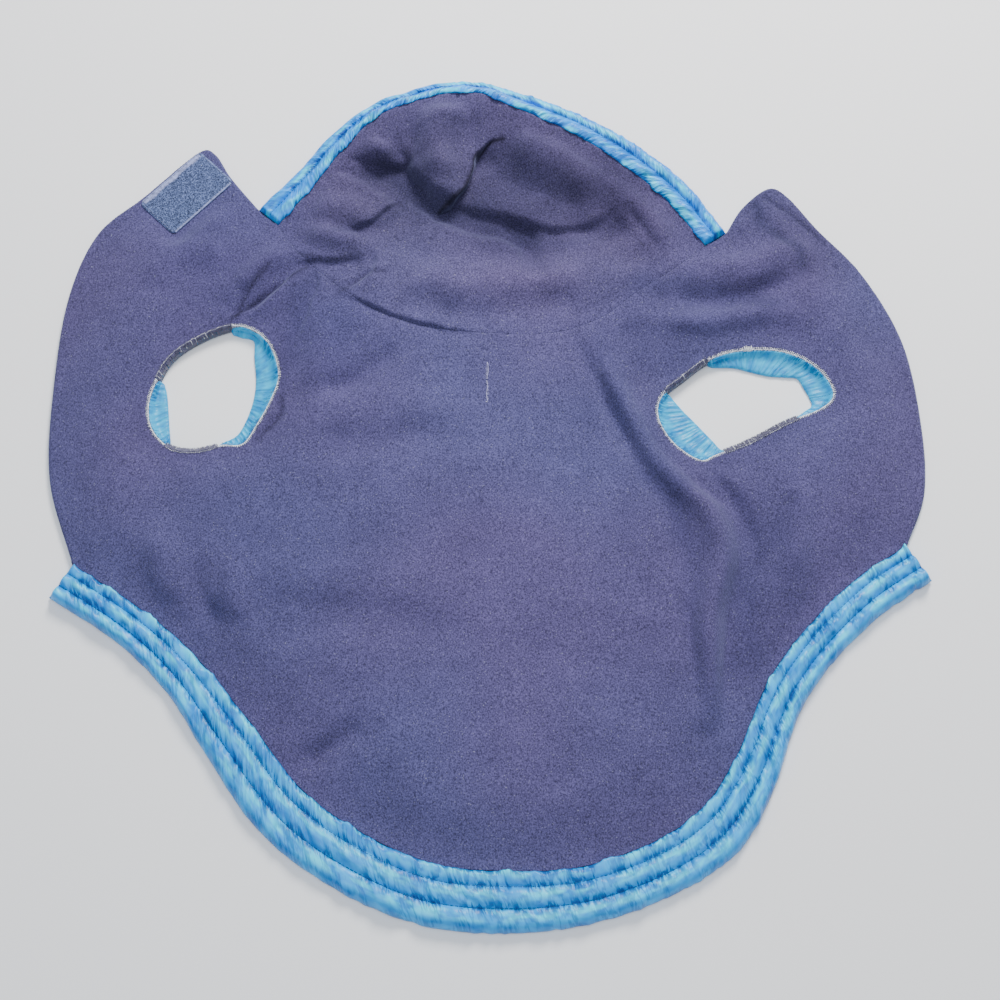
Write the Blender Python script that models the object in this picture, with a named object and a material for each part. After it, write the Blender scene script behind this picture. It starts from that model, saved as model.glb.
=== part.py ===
"""Hooded dog winter coat, opened out and laid flat with its fleece lining up.

X runs across the coat, +Y from the hem towards the hood, +Z up from the surface it lies on.
The origin is the centre of the footprint. Sizes in the tables are millimetres.

Every cut line lies in one plan. The plan is triangulated once, each piece takes its own
triangles from it, and bed() lifts them, so that pieces on top of each other keep their gap.
"""
import math
from collections import namedtuple

import bmesh
import bpy
import numpy as np
from mathutils import Vector
from mathutils.geometry import delaunay_2d_cdt

MM = 0.001

# ---------------------------------------------------------------- cloth thicknesses
SHELL_WALL = 2.4        # satin and its thin wadding
LINING_WALL = 2.0       # fleece
GAP = 0.3               # left between two pieces at a seam
LAYER_GAP = 0.45        # left between two layers
LINING_LOW = SHELL_WALL + LAYER_GAP
LINING_TOP = LINING_LOW + LINING_WALL

# ---------------------------------------------------------------- how finely the plan is cut
FRONT_STEP = 15.0       # between points on the front edges
SEAM_STEP = 13.0        # between points on the neck and centre seams
HOOD_PITCH = 11.0       # between points inside the hood
BODY_PITCH = 24.0       # between points inside the body
GUIDE_STEP = 15.0       # between points along a fold
POINT_ROOM = 0.62       # share of the pitch that an inner point keeps from other points
LINE_ROOM = 0.42        # and from a cut line
ON_LINE = 0.01          # a point this near to a line lies on it

# ---------------------------------------------------------------- cut lines
Spot = namedtuple("Spot", "x y")
HemSection = namedtuple("HemSection", "x y width")
RimSection = namedtuple("RimSection", "x y width lift outer_lift")

# Outer edge of the hem from the left front edge to the right, and the border's width there.
HEM = [HemSection(*row) for row in (
    (-299, -86, 27),
    (-248, -119, 27),
    (-213, -153, 30),
    (-185, -194, 36),
    (-150, -241, 38),
    (-106, -275, 39),
    (-48, -301, 39),
    (10, -308, 39),
    (69, -302, 36),
    (124, -283, 35),
    (166, -256, 36),
    (190, -218, 32),
    (203, -184, 28),
    (215, -158, 28),
    (240, -126, 28),
    (273, -96, 29),
    (307, -74, 29),
)]
HEM_SECTIONS = 73       # points along the border, two to a pucker

# Outer edge of the hood's rim from left to right, its width, and how high it stands.
RIM = [RimSection(*row) for row in (
    (-169, 210, 21, 2, 1),
    (-141, 232, 19, 6, 3),
    (-112, 266, 17, 12, 7),
    (-83, 291, 15, 18, 10),
    (-40, 305, 15, 24, 13),
    (-2, 307, 15, 25, 14),
    (31, 296, 18, 24, 15),
    (72, 279, 20, 20, 14),
    (110, 257, 22, 15, 11),
    (146, 226, 22, 8, 6),
    (176, 189, 20, 2, 1),
)]
RIM_SECTIONS = 49

# Front edges, from the hood's rim round the tab and down to the hem.
LEFT_FRONT = [Spot(*row) for row in (
    (-169, 210),
    (-191, 236),
    (-204, 256),
    (-216, 256),
    (-252, 219),
    (-285, 188),
    (-303, 140),
    (-309, 73),
    (-306, 0),
    (-299, -57),
)]
RIGHT_FRONT = [Spot(*row) for row in (
    (176, 189),
    (191, 209),
    (210, 225),
    (222, 219),
    (242, 192),
    (273, 156),
    (299, 104),
    (308.5, 43),
    (307, -10),
    (306, -44),
)]
NECK_SEAM = [Spot(*row) for row in (
    (-139, 173),
    (-111, 147),
    (-84, 128),
    (-45, 113),
    (0, 107),
    (45, 107),
    (82, 119),
    (108, 139),
    (135, 157),
)]
HOOD_CENTRE_SEAM = [Spot(*row) for row in (
    (16, 130),
    (26, 158),
    (22, 190),
    (4, 214),
    (-8, 245),
    (-7, 275),
)]

# A leg hole's edge is a closed curve through spots, anticlockwise from its right end. The
# directions of its cuff are counted from its centre.
LegHole = namedtuple("LegHole", "x y sections edge")
LEG_HOLES = {
    "left": LegHole(-194, 66, 26, [Spot(*row) for row in (
        (-148, 76), (-154, 97), (-166, 110), (-182, 114), (-205, 105), (-224, 91), (-234, 73),
        (-239, 55), (-236, 36), (-223, 22), (-205, 19), (-186, 23), (-171, 24), (-162, 38),
        (-153, 57),
    )]),
    "right": LegHole(183, 55, 28, [Spot(*row) for row in (
        (247, 63), (236, 82), (213, 94), (183, 95), (160, 88), (141, 74), (125, 60), (122, 44),
        (132, 25), (150, 12), (162, 16), (186, 26), (212, 40), (238, 51),
    )]),
}
CUFF_WALL = 3.0          # folded band, flat under the coat
CUFF_TUCK = 9.0          # how far it lies under the coat outside the hole's edge
CUFF_LIFT = CUFF_WALL + GAP + 0.3
CUFF_FADE = 26.0         # distance in which the coat comes down again round the cuff

# Corners of the cuff's section. The share is 0 at the hole's edge and 1 at the cuff's inner
# edge. Every second section of the ring is raised by its gather.
CuffCorner = namedtuple("CuffCorner", "share height gather")
CUFF_CORNERS = [CuffCorner(*row) for row in (
    (1.0, 0.0, 0.0),
    (1.0, 2.4, 0.0),
    (0.55, 3.0, 1.3),
    (0.08, 2.8, 0.0),
)]
CUFF_FULL_SHOW = 8.0     # shown width from which its gathers have their full height

# Width of the cuff that shows inside the hole, by direction from the hole's centre.
CuffShow = namedtuple("CuffShow", "angle width")
CUFF_SHOWS = {
    "left": [CuffShow(*row) for row in (
        (0, 16), (30, 15), (45, 11), (60, 5), (90, 3), (150, 3), (180, 9), (205, 12), (225, 8),
        (245, 4), (285, 3), (305, 8), (330, 12),
    )],
    "right": [CuffShow(*row) for row in (
        (0, 14), (20, 17), (45, 20), (60, 18), (75, 14), (90, 10), (120, 6), (140, 3), (168, 3),
        (180, 16), (195, 24), (215, 24), (232, 14), (250, 4), (300, 3), (340, 4),
    )],
}

# Touch fastener patches: centre, length, width, and the direction of the length.
Patch = namedtuple("Patch", "x y length width turn")
LOOP_PATCH = Patch(-219.5, 220.0, 57, 28, 46.3)
HOOK_PATCH = Patch(216.0, 184.0, 57, 28, -46.0)
PATCH_WALL = 1.6
PATCH_MARGIN = 5.0       # cloth that bends up round the patch under the tab
PATCH_CORNER = 3.0
LOOP_FLAT = 18.0         # distance round the loop patch in which the tab lies flat

SLIT_X = 1.0             # leash slit, along Y
SLIT_LOW = 54.0
SLIT_HIGH = 83.0
SLIT_WIDTH = 1.2

# ---------------------------------------------------------------- height of the laid cloth
BODY_SWELL = 4.0         # the body's loft over the surface
EDGE_FADE = 48.0         # distance from an edge in which the loft comes in
HOOD_SWELL = 7.0
FOLD_END = 0.35          # share of a fold's height left at its ends
FOLD_TAPER = 0.25        # share of its length in which it grows to its full height
FOLD_FADE = 21.0         # distance from an edge in which the folds come in
FOLD_FOOT = 0.85         # share of the half width where its foot is
RIM_FADE = 42.0          # distance in which the hood comes down from its rim
NECK_BLEND = 24.0        # breadth over which body and hood run together

# A ridge has a positive height and a trough a negative one. Its middle line is a curve
# through a few spots, and its half width changes from its start to its end.
Fold = namedtuple("Fold", "line height start_half end_half")
HOOD_FOLDS = [Fold(*row) for row in (
    (((-32, 290), (-30, 262), (-27, 216)), 13, 36, 15),  # tongue that falls from the rim
    (((12, 236), (45, 243), (88, 224)), 13, 26, 24),  # round puff beside it
    (((22, 268), (-8, 246), (-24, 207)), -10, 12, 12),  # dark crease between the two
    (((-66, 204), (-18, 198), (40, 178)), -9, 20, 18),  # valley under both
    (((-6, 212), (50, 196), (104, 210)), -7, 12, 12),  # crease under the puff
    (((-78, 150), (0, 146), (92, 152)), 7, 26, 26),  # neck stand
    (((-118, 250), (-96, 244), (-66, 236)), 8, 14, 13),  # crumpled side, upper lobe
    (((-126, 216), (-104, 212), (-78, 222)), 8, 14, 12),  # crumpled side, middle lobe
    (((-128, 184), (-110, 182), (-90, 184)), 7, 14, 12),  # crumpled side, lower lobe
    (((-112, 235), (-90, 222), (-70, 208)), -8, 10, 10),  # creases between the lobes
    (((-138, 170), (-108, 165), (-84, 168)), -6, 10, 10),
    (((-62, 280), (-62, 250), (-54, 222)), -8, 11, 11),
    (((96, 226), (122, 196), (132, 170)), 5, 22, 18),  # smooth side
)]
BODY_FOLDS = [Fold(*row) for row in (
    (((63, 113), (88, 42), (128, -30), (139, -112), (145, -192)), -6, 13, 15),  # long crease
    (((98, 98), (108, 56), (138, 4)), 8, 16, 18),  # cloth standing beside it
    (((138, 2), (158, -70), (154, -158)), 8, 18, 15),
    (((145, 7), (180, -22), (188, -56)), -6, 13, 16),  # crease from the right leg hole
    (((187, -46), (180, -104), (160, -168)), -6, 22, 14),
    (((222, 14), (214, -24), (204, -66)), 7, 20, 22),
    (((131, 137), (179, 140), (229, 156)), -6, 14, 13),  # creases of the right tab
    (((120, 116), (168, 118), (218, 124)), 6, 15, 14),
    (((158, 160), (196, 164), (238, 178)), 5, 15, 15),
    (((111, 129), (118, 98), (124, 67)), -5, 13, 12),
    (((-192, 117), (-164, 135), (-131, 156)), -5, 13, 12),  # creases of the left tab
    (((-184, 140), (-164, 158), (-144, 172)), 6, 16, 13),
    (((-252, 148), (-222, 166), (-186, 178)), 4, 22, 22),
    (((-130, 147), (-141, 109), (-146, 74)), -5, 13, 12),
    (((-112, 120), (-122, 92), (-126, 60)), 6, 17, 16),
    (((-57, 103), (-90, 72), (-130, 60)), -5, 16, 14),  # slanting crease of the back
    (((-126, 18), (-70, 25), (-18, 27)), -3, 20, 22),
    (((-130, 44), (-80, 50), (-14, 52)), 3, 22, 22),
    (((-172, -102), (-100, -104), (-20, -116)), -3, 22, 24),
    (((-156, -72), (-90, -74), (-14, -82)), 3, 24, 24),
    (((-80, -170), (-100, -190), (-124, -206)), -4, 16, 14),
    (((-200, -58), (-196, -84), (-180, -114)), -4, 15, 14),
    (((-218, -40), (-218, -70), (-210, -96)), 4, 15, 14),
    (((30, -10), (52, -90), (40, -176)), 4, 48, 46),  # broad loft of the back
    (((-60, -30), (-72, -140), (-40, -206)), 3, 42, 40),
)]

# ---------------------------------------------------------------- puffed bands
# Share of the band's width from its inner edge, and the height of its top there.
BandColumn = namedtuple("BandColumn", "share height pucker")
HEM_COLUMNS = [BandColumn(*row) for row in (
    (0.0, 2.4, 0.0),
    (0.12, 6.8, 0.9),
    (0.25, 3.6, 0.0),
    (0.43, 7.4, 0.9),
    (0.61, 3.6, 0.0),
    (0.79, 7.4, 0.9),
    (0.93, 5.2, 0.4),
    (1.0, 2.2, 0.0),
)]
RIM_COLUMNS = [BandColumn(*row) for row in (
    (0.0, 2.4, 0.0),
    (0.25, 6.2, 0.8),
    (0.5, 4.2, 0.0),
    (0.75, 6.2, -0.8),
    (1.0, 2.2, 0.0),
)]

PUCKER_LEAN = 1.0        # how far a pucker's crest leans along the band

# ---------------------------------------------------------------- finishes
Finish = namedtuple("Finish", "colour roughness")
FLEECE = Finish((0.075, 0.080, 0.165), 0.95)
SATIN = Finish((0.045, 0.420, 0.800), 0.35)
PILE = Finish((0.090, 0.120, 0.240), 0.95)


# ================================================================ lines in the plan
def smooth_line(spots, steps=12):
    """Curve through the spots, as an array of close points."""
    spots = np.array([(s.x, s.y) for s in spots], float)
    count = len(spots)
    found = []
    for i in range(count - 1):
        start, end = spots[i], spots[i + 1]
        before = spots[i - 1] if i else 2 * start - end
        after = spots[i + 2] if i + 2 < count else 2 * end - start
        for t in np.arange(steps) / steps:
            found.append(hermite(start, end, (end - before) / 2, (after - start) / 2, t))
    found.append(spots[-1])
    return np.array(found)


def hermite(start, end, tangent_in, tangent_out, t):
    """Point at t on the cubic with the given ends and tangents."""
    return (
        (2 * t**3 - 3 * t**2 + 1) * start
        + (t**3 - 2 * t**2 + t) * tangent_in
        + (3 * t**2 - 2 * t**3) * end
        + (t**3 - t**2) * tangent_out
    )


def run_along(line):
    """Distance from the line's start to each of its points."""
    return np.concatenate([[0], np.cumsum(np.linalg.norm(np.diff(line, axis=0), axis=1))])


def evenly(line, count):
    """The line as count points at even distances."""
    run = run_along(line)
    at = np.linspace(0, run[-1], count)
    return np.stack([np.interp(at, run, line[:, k]) for k in (0, 1)], axis=1)


def stepped(line, step):
    """The line as points about one step apart."""
    return evenly(line, max(2, round(run_along(line)[-1] / step) + 1))


def column_along(line, rows, name):
    """A column of the section table, read at each point of the line."""
    run = run_along(line) / run_along(line)[-1]
    spots = np.array([(r.x, r.y) for r in rows], float)
    at = run_along(spots) / run_along(spots)[-1]
    return np.interp(run, at, [getattr(r, name) for r in rows])


def moved_in(line, width):
    """The line moved to its right by a width for each point."""
    tangent = np.gradient(line, axis=0)
    tangent /= np.linalg.norm(tangent, axis=1)[:, None]
    return line + np.stack([tangent[:, 1], -tangent[:, 0]], axis=1) * np.asarray(width)[:, None]


def nearest(points, line):
    """Distance of each point from the line, and where along it from 0 to 1."""
    run = run_along(line)
    best = np.full(len(points), 1e9)
    where = np.zeros(len(points))
    for i in range(len(line) - 1):
        start, way = line[i], line[i + 1] - line[i]
        t = np.clip((points - start) @ way / max(way @ way, 1e-9), 0, 1)
        apart = np.linalg.norm(points - start - t[:, None] * way, axis=1)
        closer = apart < best
        best[closer] = apart[closer]
        where[closer] = (run[i] + t[closer] * (run[i + 1] - run[i])) / run[-1]
    return best, where


def inside(points, polygon):
    """Whether each point lies in the polygon."""
    found = np.zeros(len(points), bool)
    x, y = points[:, 0], points[:, 1]
    for (x0, y0), (x1, y1) in zip(polygon, np.roll(polygon, -1, axis=0)):
        crosses = (y0 > y) != (y1 > y)
        if y0 != y1:
            found ^= crosses & (x < (x1 - x0) * (y - y0) / (y1 - y0) + x0)
    return found


# ================================================================ outlines of the pieces
def leg_hole_line(hole, outward=0.0):
    """The hole's edge, or a line that keeps a distance outside it."""
    steps, count = 12, len(hole.edge)
    around = smooth_line(hole.edge[-1:] + hole.edge + hole.edge[:2], steps)
    line = evenly(around[steps : steps * (count + 1) + 1], hole.sections + 1)[:-1]
    ahead = np.roll(line, -1, axis=0) - np.roll(line, 1, axis=0)
    ahead /= np.linalg.norm(ahead, axis=1)[:, None]
    return line + np.stack([ahead[:, 1], -ahead[:, 0]], axis=1) * outward


def patch_line(patch, outward=0.0):
    """The patch's outline with its corners cut, or a line outside it."""
    half_length, half_width = patch.length / 2 + outward, patch.width / 2 + outward
    corner = PATCH_CORNER
    quarter = [(half_length, half_width - corner), (half_length - corner, half_width)]
    signs = ((1, 1), (-1, 1), (-1, -1), (1, -1))
    points = []
    for k, (sx, sy) in enumerate(signs):
        pair = quarter if k % 2 == 0 else quarter[::-1]
        points += [(sx * along, sy * across) for along, across in pair]
    turn = math.radians(patch.turn)
    along, across = np.array(points).T
    x = patch.x + along * math.cos(turn) - across * math.sin(turn)
    y = patch.y + along * math.sin(turn) + across * math.cos(turn)
    return np.stack([x, y], axis=1)


def slit_line():
    """The leash slit's outline, pointed at its ends."""
    half, middle = SLIT_WIDTH / 2, (SLIT_LOW + SLIT_HIGH) / 2
    return np.array([
        (SLIT_X, SLIT_LOW), (SLIT_X + half, SLIT_LOW + 2), (SLIT_X + half, middle),
        (SLIT_X + half, SLIT_HIGH - 2), (SLIT_X, SLIT_HIGH), (SLIT_X - half, SLIT_HIGH - 2),
        (SLIT_X - half, middle), (SLIT_X - half, SLIT_LOW + 2),
    ])


def cut_lines():
    """Every line of the plan by name. Open ones run from left to right or downwards."""
    lines = {}
    hem_outer = evenly(smooth_line(HEM), HEM_SECTIONS)
    hem_width = column_along(hem_outer, HEM, "width")
    lines["hem_outer"] = hem_outer
    lines["hem_inner"] = moved_in(hem_outer, -hem_width)
    rim_outer = evenly(smooth_line(RIM), RIM_SECTIONS)
    lines["rim_outer"] = rim_outer
    lines["rim_inner"] = moved_in(rim_outer, column_along(rim_outer, RIM, "width"))
    left = LEFT_FRONT[:-1] + [Spot(*lines["hem_inner"][0])]
    right = RIGHT_FRONT[:-1] + [Spot(*lines["hem_inner"][-1])]
    lines["left_front"] = stepped(smooth_line(left), FRONT_STEP)
    lines["right_front"] = stepped(smooth_line(right), FRONT_STEP)
    neck = [Spot(*lines["rim_inner"][0])] + NECK_SEAM + [Spot(*lines["rim_inner"][-1])]
    lines["neck"] = stepped(smooth_line(neck), SEAM_STEP)
    start = lines["neck"][np.argmin(np.abs(lines["neck"][:, 0] - HOOD_CENTRE_SEAM[0].x))]
    top = lines["rim_inner"][np.argmin(np.abs(lines["rim_inner"][:, 0] - HOOD_CENTRE_SEAM[-1].x))]
    centre = [Spot(*start)] + HOOD_CENTRE_SEAM + [Spot(*top)]
    lines["centre"] = stepped(smooth_line(centre), SEAM_STEP)
    return lines


def closed_lines():
    """Every closed line of the plan by name."""
    lines = {}
    for side, hole in LEG_HOLES.items():
        lines["hole_" + side] = leg_hole_line(hole)
        lines["tuck_" + side] = leg_hole_line(hole, CUFF_TUCK)
    lines["loop"] = patch_line(LOOP_PATCH)
    lines["hook"] = patch_line(HOOK_PATCH)
    lines["hook_margin"] = patch_line(HOOK_PATCH, PATCH_MARGIN)
    lines["slit"] = slit_line()
    return lines


def outlines(lines):
    """The polygon of each piece, put together from the cut lines."""
    centre, neck, rim = lines["centre"], lines["neck"], lines["rim_inner"]
    at_neck = int(np.argmin(np.linalg.norm(neck - centre[0], axis=1)))
    at_rim = int(np.argmin(np.linalg.norm(rim - centre[-1], axis=1)))
    rim_out = lines["rim_outer"]
    top_left = np.concatenate([neck[: at_neck + 1], centre])
    top_right = np.concatenate([neck[at_neck:][::-1], centre])
    body = [neck, rim_out[-1:], lines["right_front"]]
    return {
        "body_lining": np.concatenate(
            body + [lines["hem_inner"][::-1], lines["left_front"][::-1], rim_out[:1]]),
        "body_shell": np.concatenate(
            body + [lines["hem_outer"][::-1], lines["left_front"][::-1], rim_out[:1]]),
        "hem_facing": np.concatenate([lines["hem_inner"], lines["hem_outer"][::-1]]),
        "hood_rim": np.concatenate([rim, rim_out[::-1]]),
        "hood_lining_left": np.concatenate([top_left, rim[: at_rim + 1][::-1]]),
        "hood_lining_right": np.concatenate([top_right, rim[at_rim:]]),
        "hood_shell_left": np.concatenate(
            [top_left, rim_out[: at_rim + 1][::-1]]),
        "hood_shell_right": np.concatenate(
            [top_right, rim_out[at_rim:]]),
    }


# ================================================================ height of the cloth
def soft(value):
    """Smooth step from 0 to 1."""
    value = np.clip(value, 0, 1)
    return value * value * (3 - 2 * value)


def fold_line(fold):
    """The fold's middle line."""
    return smooth_line([Spot(*spot) for spot in fold.line], steps=5)


def folds_height(points, folds):
    """Sum of the folds' heights at the points."""
    height = np.zeros(len(points))
    for fold in folds:
        apart, where = nearest(points, fold_line(fold))
        half = fold.start_half + (fold.end_half - fold.start_half) * where
        across = (1 + np.cos(math.pi * np.clip(apart / half, 0, 1))) / 2
        grown = soft(where / FOLD_TAPER) * soft((1 - where) / FOLD_TAPER)
        height += fold.height * across * (FOLD_END + (1 - FOLD_END) * grown)
    return height


def body_height(points, lines):
    """Loft and folds of the body, down to the surface at its edges."""
    edges = [lines[name] for name in ("left_front", "hem_inner", "right_front")]
    apart = np.min([nearest(points, edge)[0] for edge in edges], axis=0)
    border = np.concatenate([lines["hem_inner"], lines["hem_outer"][::-1]])
    on_border = inside(points, border) | (nearest(points, lines["hem_outer"])[0] < ON_LINE)
    apart = np.where(on_border, 0, apart)
    loft = soft(apart / EDGE_FADE)
    folds = folds_height(points, BODY_FOLDS) * soft(apart / FOLD_FADE)
    return np.maximum(BODY_SWELL * loft + folds, 0)


def hood_height(points, lines):
    """Loft and folds of the hood, up to its standing rim."""
    apart, where = nearest(points, lines["rim_inner"])
    shares = np.linspace(0, 1, len(lines["rim_inner"]))
    inner = np.interp(where, shares, column_along(lines["rim_outer"], RIM, "lift"))
    away = soft(apart / RIM_FADE)
    folds = folds_height(points, HOOD_FOLDS) * soft(apart / FOLD_FADE)
    return np.maximum(inner * (1 - away) + HOOD_SWELL * away + folds, 0)


def rim_height(points, lines):
    """Height under the rim, which falls from its inner to its outer edge."""
    from_outer, where = nearest(points, lines["rim_outer"])
    from_inner, _ = nearest(points, lines["rim_inner"])
    shares = np.linspace(0, 1, len(lines["rim_outer"]))
    inner = np.interp(where, shares, column_along(lines["rim_outer"], RIM, "lift"))
    outer = np.interp(where, shares, column_along(lines["rim_outer"], RIM, "outer_lift"))
    across = from_inner / np.maximum(from_inner + from_outer, 1e-6)
    return inner * (1 - across) + outer * across


def bed(points, lines, shut):
    """Height of the coat's underside above the surface at the points."""
    areas = outlines(lines)
    hood = np.concatenate([lines["neck"], lines["rim_inner"][::-1]])
    on_rim_inner = nearest(points, lines["rim_inner"])[0] < ON_LINE
    in_hood = inside(points, hood) | on_rim_inner
    on_rim_outer = nearest(points, lines["rim_outer"])[0] < ON_LINE
    in_rim = inside(points, areas["hood_rim"]) | on_rim_outer
    from_neck, _ = nearest(points, lines["neck"])
    blend = soft(0.5 + np.where(in_hood, from_neck, -from_neck) / NECK_BLEND)
    body, hooded = body_height(points, lines), hood_height(points, lines)
    height = body * (1 - blend) + hooded * blend
    height = np.where(in_rim & ~on_rim_inner, rim_height(points, lines), height)
    for side in LEG_HOLES:
        ring = shut["tuck_" + side]
        apart, _ = nearest(points, np.concatenate([ring, ring[:1]]))
        apart = np.where(inside(points, ring), 0, apart)
        height = np.maximum(height, CUFF_LIFT * (1 - soft(apart / CUFF_FADE)))
    apart, _ = nearest(points, np.concatenate([shut["loop"], shut["loop"][:1]]))
    height = height * soft(np.where(inside(points, shut["loop"]), 0, apart) / LOOP_FLAT)
    patch = shut["hook_margin"]
    on_patch = inside(points, shut["hook"])
    apart, _ = nearest(points, np.concatenate([shut["hook"], shut["hook"][:1]]))
    raised = (PATCH_WALL + LAYER_GAP) * (1 - soft(np.where(on_patch, 0, apart) / PATCH_MARGIN))
    near_patch = inside(points, patch) | on_patch | (apart < ON_LINE)
    return np.where(near_patch, np.maximum(height, raised), height)


# ================================================================ the shared plan
class Plan:
    """The triangulated plan: points, their heights and the triangles."""

    def __init__(self, lines, shut):
        self.lines = lines
        self.shut = shut
        self.found = {}
        self.spots = []
        self.edges = []
        for line in lines.values():
            self.add_line(line)
        for end in (0, -1):
            self.add_line(np.array([lines["rim_inner"][end], lines["rim_outer"][end]]))
            self.add_line(np.array([lines["hem_inner"][end], lines["hem_outer"][end]]))
        for line in shut.values():
            self.add_line(np.concatenate([line, line[:1]]))
        self.add_inner_spots()
        self.triangulate()

    def add_spot(self, spot):
        key = (round(spot[0], 3), round(spot[1], 3))
        if key not in self.found:
            self.found[key] = len(self.spots)
            self.spots.append(key)
        return self.found[key]

    def add_line(self, line):
        ids = [self.add_spot(spot) for spot in line]
        self.edges += [(a, b) for a, b in zip(ids, ids[1:]) if a != b]

    def add_inner_spots(self):
        """Points along the folds first, then a staggered field between them."""
        areas = outlines(self.lines)
        body = areas["body_lining"]
        hood = np.concatenate([self.lines["neck"], self.lines["rim_inner"][::-1]])
        for fold in HOOD_FOLDS:
            self.add_clear(stepped(fold_line(fold), HOOD_PITCH), hood, HOOD_PITCH)
        self.add_clear(staggered(hood, HOOD_PITCH), hood, HOOD_PITCH)
        for fold in BODY_FOLDS:
            self.add_clear(fold_guides(fold), body, GUIDE_STEP)
        self.add_clear(staggered(body, BODY_PITCH), body, BODY_PITCH)

    def add_clear(self, candidates, area, pitch):
        """Add the candidates that keep their room from every line and other point."""
        candidates = candidates[inside(candidates, area)]
        for side in LEG_HOLES:
            candidates = candidates[~inside(candidates, self.shut["hole_" + side])]
        edges = np.array(self.edges)
        spots = np.array(self.spots)
        ends = spots[edges]
        for candidate in candidates:
            if edge_distance(candidate, ends) < pitch * LINE_ROOM:
                continue
            if np.min(np.linalg.norm(spots - candidate, axis=1)) < pitch * POINT_ROOM:
                continue
            self.add_spot(candidate)
            spots = np.array(self.spots)

    def triangulate(self):
        verts = [Vector(spot) for spot in self.spots]
        found = delaunay_2d_cdt(verts, self.edges, [], 0, 1e-6)
        self.points = np.array([(v.x, v.y) for v in found[0]])
        self.triangles = np.array([face for face in found[2] if len(face) == 3])
        self.middles = self.points[self.triangles].mean(axis=1)
        self.heights = bed(self.points, self.lines, self.shut)

    def take(self, area, holes=()):
        """The triangles in an area, outside the holes."""
        keep = inside(self.middles, area)
        for hole in holes:
            keep &= ~inside(self.middles, hole)
        return self.triangles[keep]

    def index_of(self, spot):
        apart = np.linalg.norm(self.points - np.asarray(spot), axis=1)
        return int(np.argmin(apart))


def edge_distance(spot, ends):
    """Distance from a spot to the nearest of many edges."""
    start, way = ends[:, 0], ends[:, 1] - ends[:, 0]
    t = np.clip(((spot - start) * way).sum(1) / np.maximum((way * way).sum(1), 1e-9), 0, 1)
    return np.linalg.norm(spot - start - t[:, None] * way, axis=1).min()


def fold_guides(fold):
    """Points on the fold's middle line and at both of its feet."""
    line = stepped(fold_line(fold), GUIDE_STEP)
    half = np.linspace(fold.start_half, fold.end_half, len(line)) * FOLD_FOOT
    return np.concatenate([line, moved_in(line, half), moved_in(line, -half)])


def staggered(area, pitch):
    """A staggered field of points over an area's box."""
    low, high = area.min(axis=0), area.max(axis=0)
    row_step = pitch * math.sqrt(3) / 2
    rows = int((high[1] - low[1]) / row_step) + 1
    columns = int((high[0] - low[0]) / pitch) + 2
    return np.array([
        (low[0] + (c + 0.5 * (r % 2)) * pitch, low[1] + r * row_step)
        for r in range(rows) for c in range(columns)
    ])


# ================================================================ solids
def edge_loops(triangles):
    """The directed edges that only one triangle has."""
    directed = {(a, b) for t in triangles for a, b in zip(t, np.roll(t, -1))}
    return [(a, b) for a, b in directed if (b, a) not in directed]


def upward(points, triangles):
    """The triangles, all turning the same way as seen from above."""
    a, b, c = (points[triangles[:, k]] for k in range(3))
    area = (b[:, 0] - a[:, 0]) * (c[:, 1] - a[:, 1]) - (b[:, 1] - a[:, 1]) * (c[:, 0] - a[:, 0])
    turned = triangles.copy()
    turned[area < 0] = turned[area < 0][:, ::-1]
    return turned


def drawn_in(plan, rim, distance):
    """New places for the edge points, drawn into the piece by a distance."""
    normals = {}
    for a, b in rim:
        way = plan.points[b] - plan.points[a]
        way = way / np.linalg.norm(way)
        left = np.array([-way[1], way[0]])
        for point in (a, b):
            normals.setdefault(point, []).append(left)
    places = {}
    for point, found in normals.items():
        total = np.sum(found, axis=0)
        total /= max(np.linalg.norm(total), 1e-6)
        reach = min(distance / max(total @ found[0], 0.5), 2 * distance)
        places[point] = plan.points[point] + total * reach
    return places


def wall(plan, name, triangles, low, high, finish, bed_under=True):
    """A cloth wall over the plan's triangles, from low to high above the bed."""
    triangles = upward(plan.points, triangles)
    rim = edge_loops(triangles)
    places = drawn_in(plan, rim, GAP / 2)
    mesh = bmesh.new()
    bottom, top = {}, {}
    for point in sorted(set(triangles.ravel().tolist())):
        x, y = places.get(point, plan.points[point])
        under = plan.heights[point] if bed_under else 0.0
        bottom[point] = mesh.verts.new((x * MM, y * MM, (under + low) * MM))
        top[point] = mesh.verts.new((x * MM, y * MM, (under + high) * MM))
    for a, b, c in triangles.tolist():
        mesh.faces.new((top[a], top[b], top[c]))
        mesh.faces.new((bottom[c], bottom[b], bottom[a]))
    for a, b in rim:
        mesh.faces.new((bottom[a], bottom[b], top[b], top[a]))
    return finished(name, mesh, finish)


def band(plan, name, inner, outer, columns, finish):
    """A puffed band between two lines, with puckers across it, on the shell."""
    triangles = upward(plan.points, plan.take(np.concatenate([inner, outer[::-1]])))
    places = drawn_in(plan, edge_loops(triangles), GAP / 2)
    mesh = bmesh.new()
    low = {}
    for point in sorted(set(triangles.ravel().tolist())):
        x, y = places[point]
        low[point] = mesh.verts.new((x * MM, y * MM, (plan.heights[point] + LINING_LOW) * MM))
    for a, b, c in triangles.tolist():
        mesh.faces.new((low[c], low[b], low[a]))
    along = np.gradient(inner, axis=0)
    along /= np.linalg.norm(along, axis=1)[:, None]
    grid = []
    for i, (start, end) in enumerate(zip(inner, outer)):
        ids = plan.index_of(start), plan.index_of(end)
        wave = (-1) ** i if 0 < i < len(inner) - 1 else 0
        row = band_row(plan, ids, places, columns, along[i], wave)
        grid.append((ids, [mesh.verts.new(spot * MM) for spot in row]))
    return close_band(name, mesh, grid, low, finish)


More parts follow.
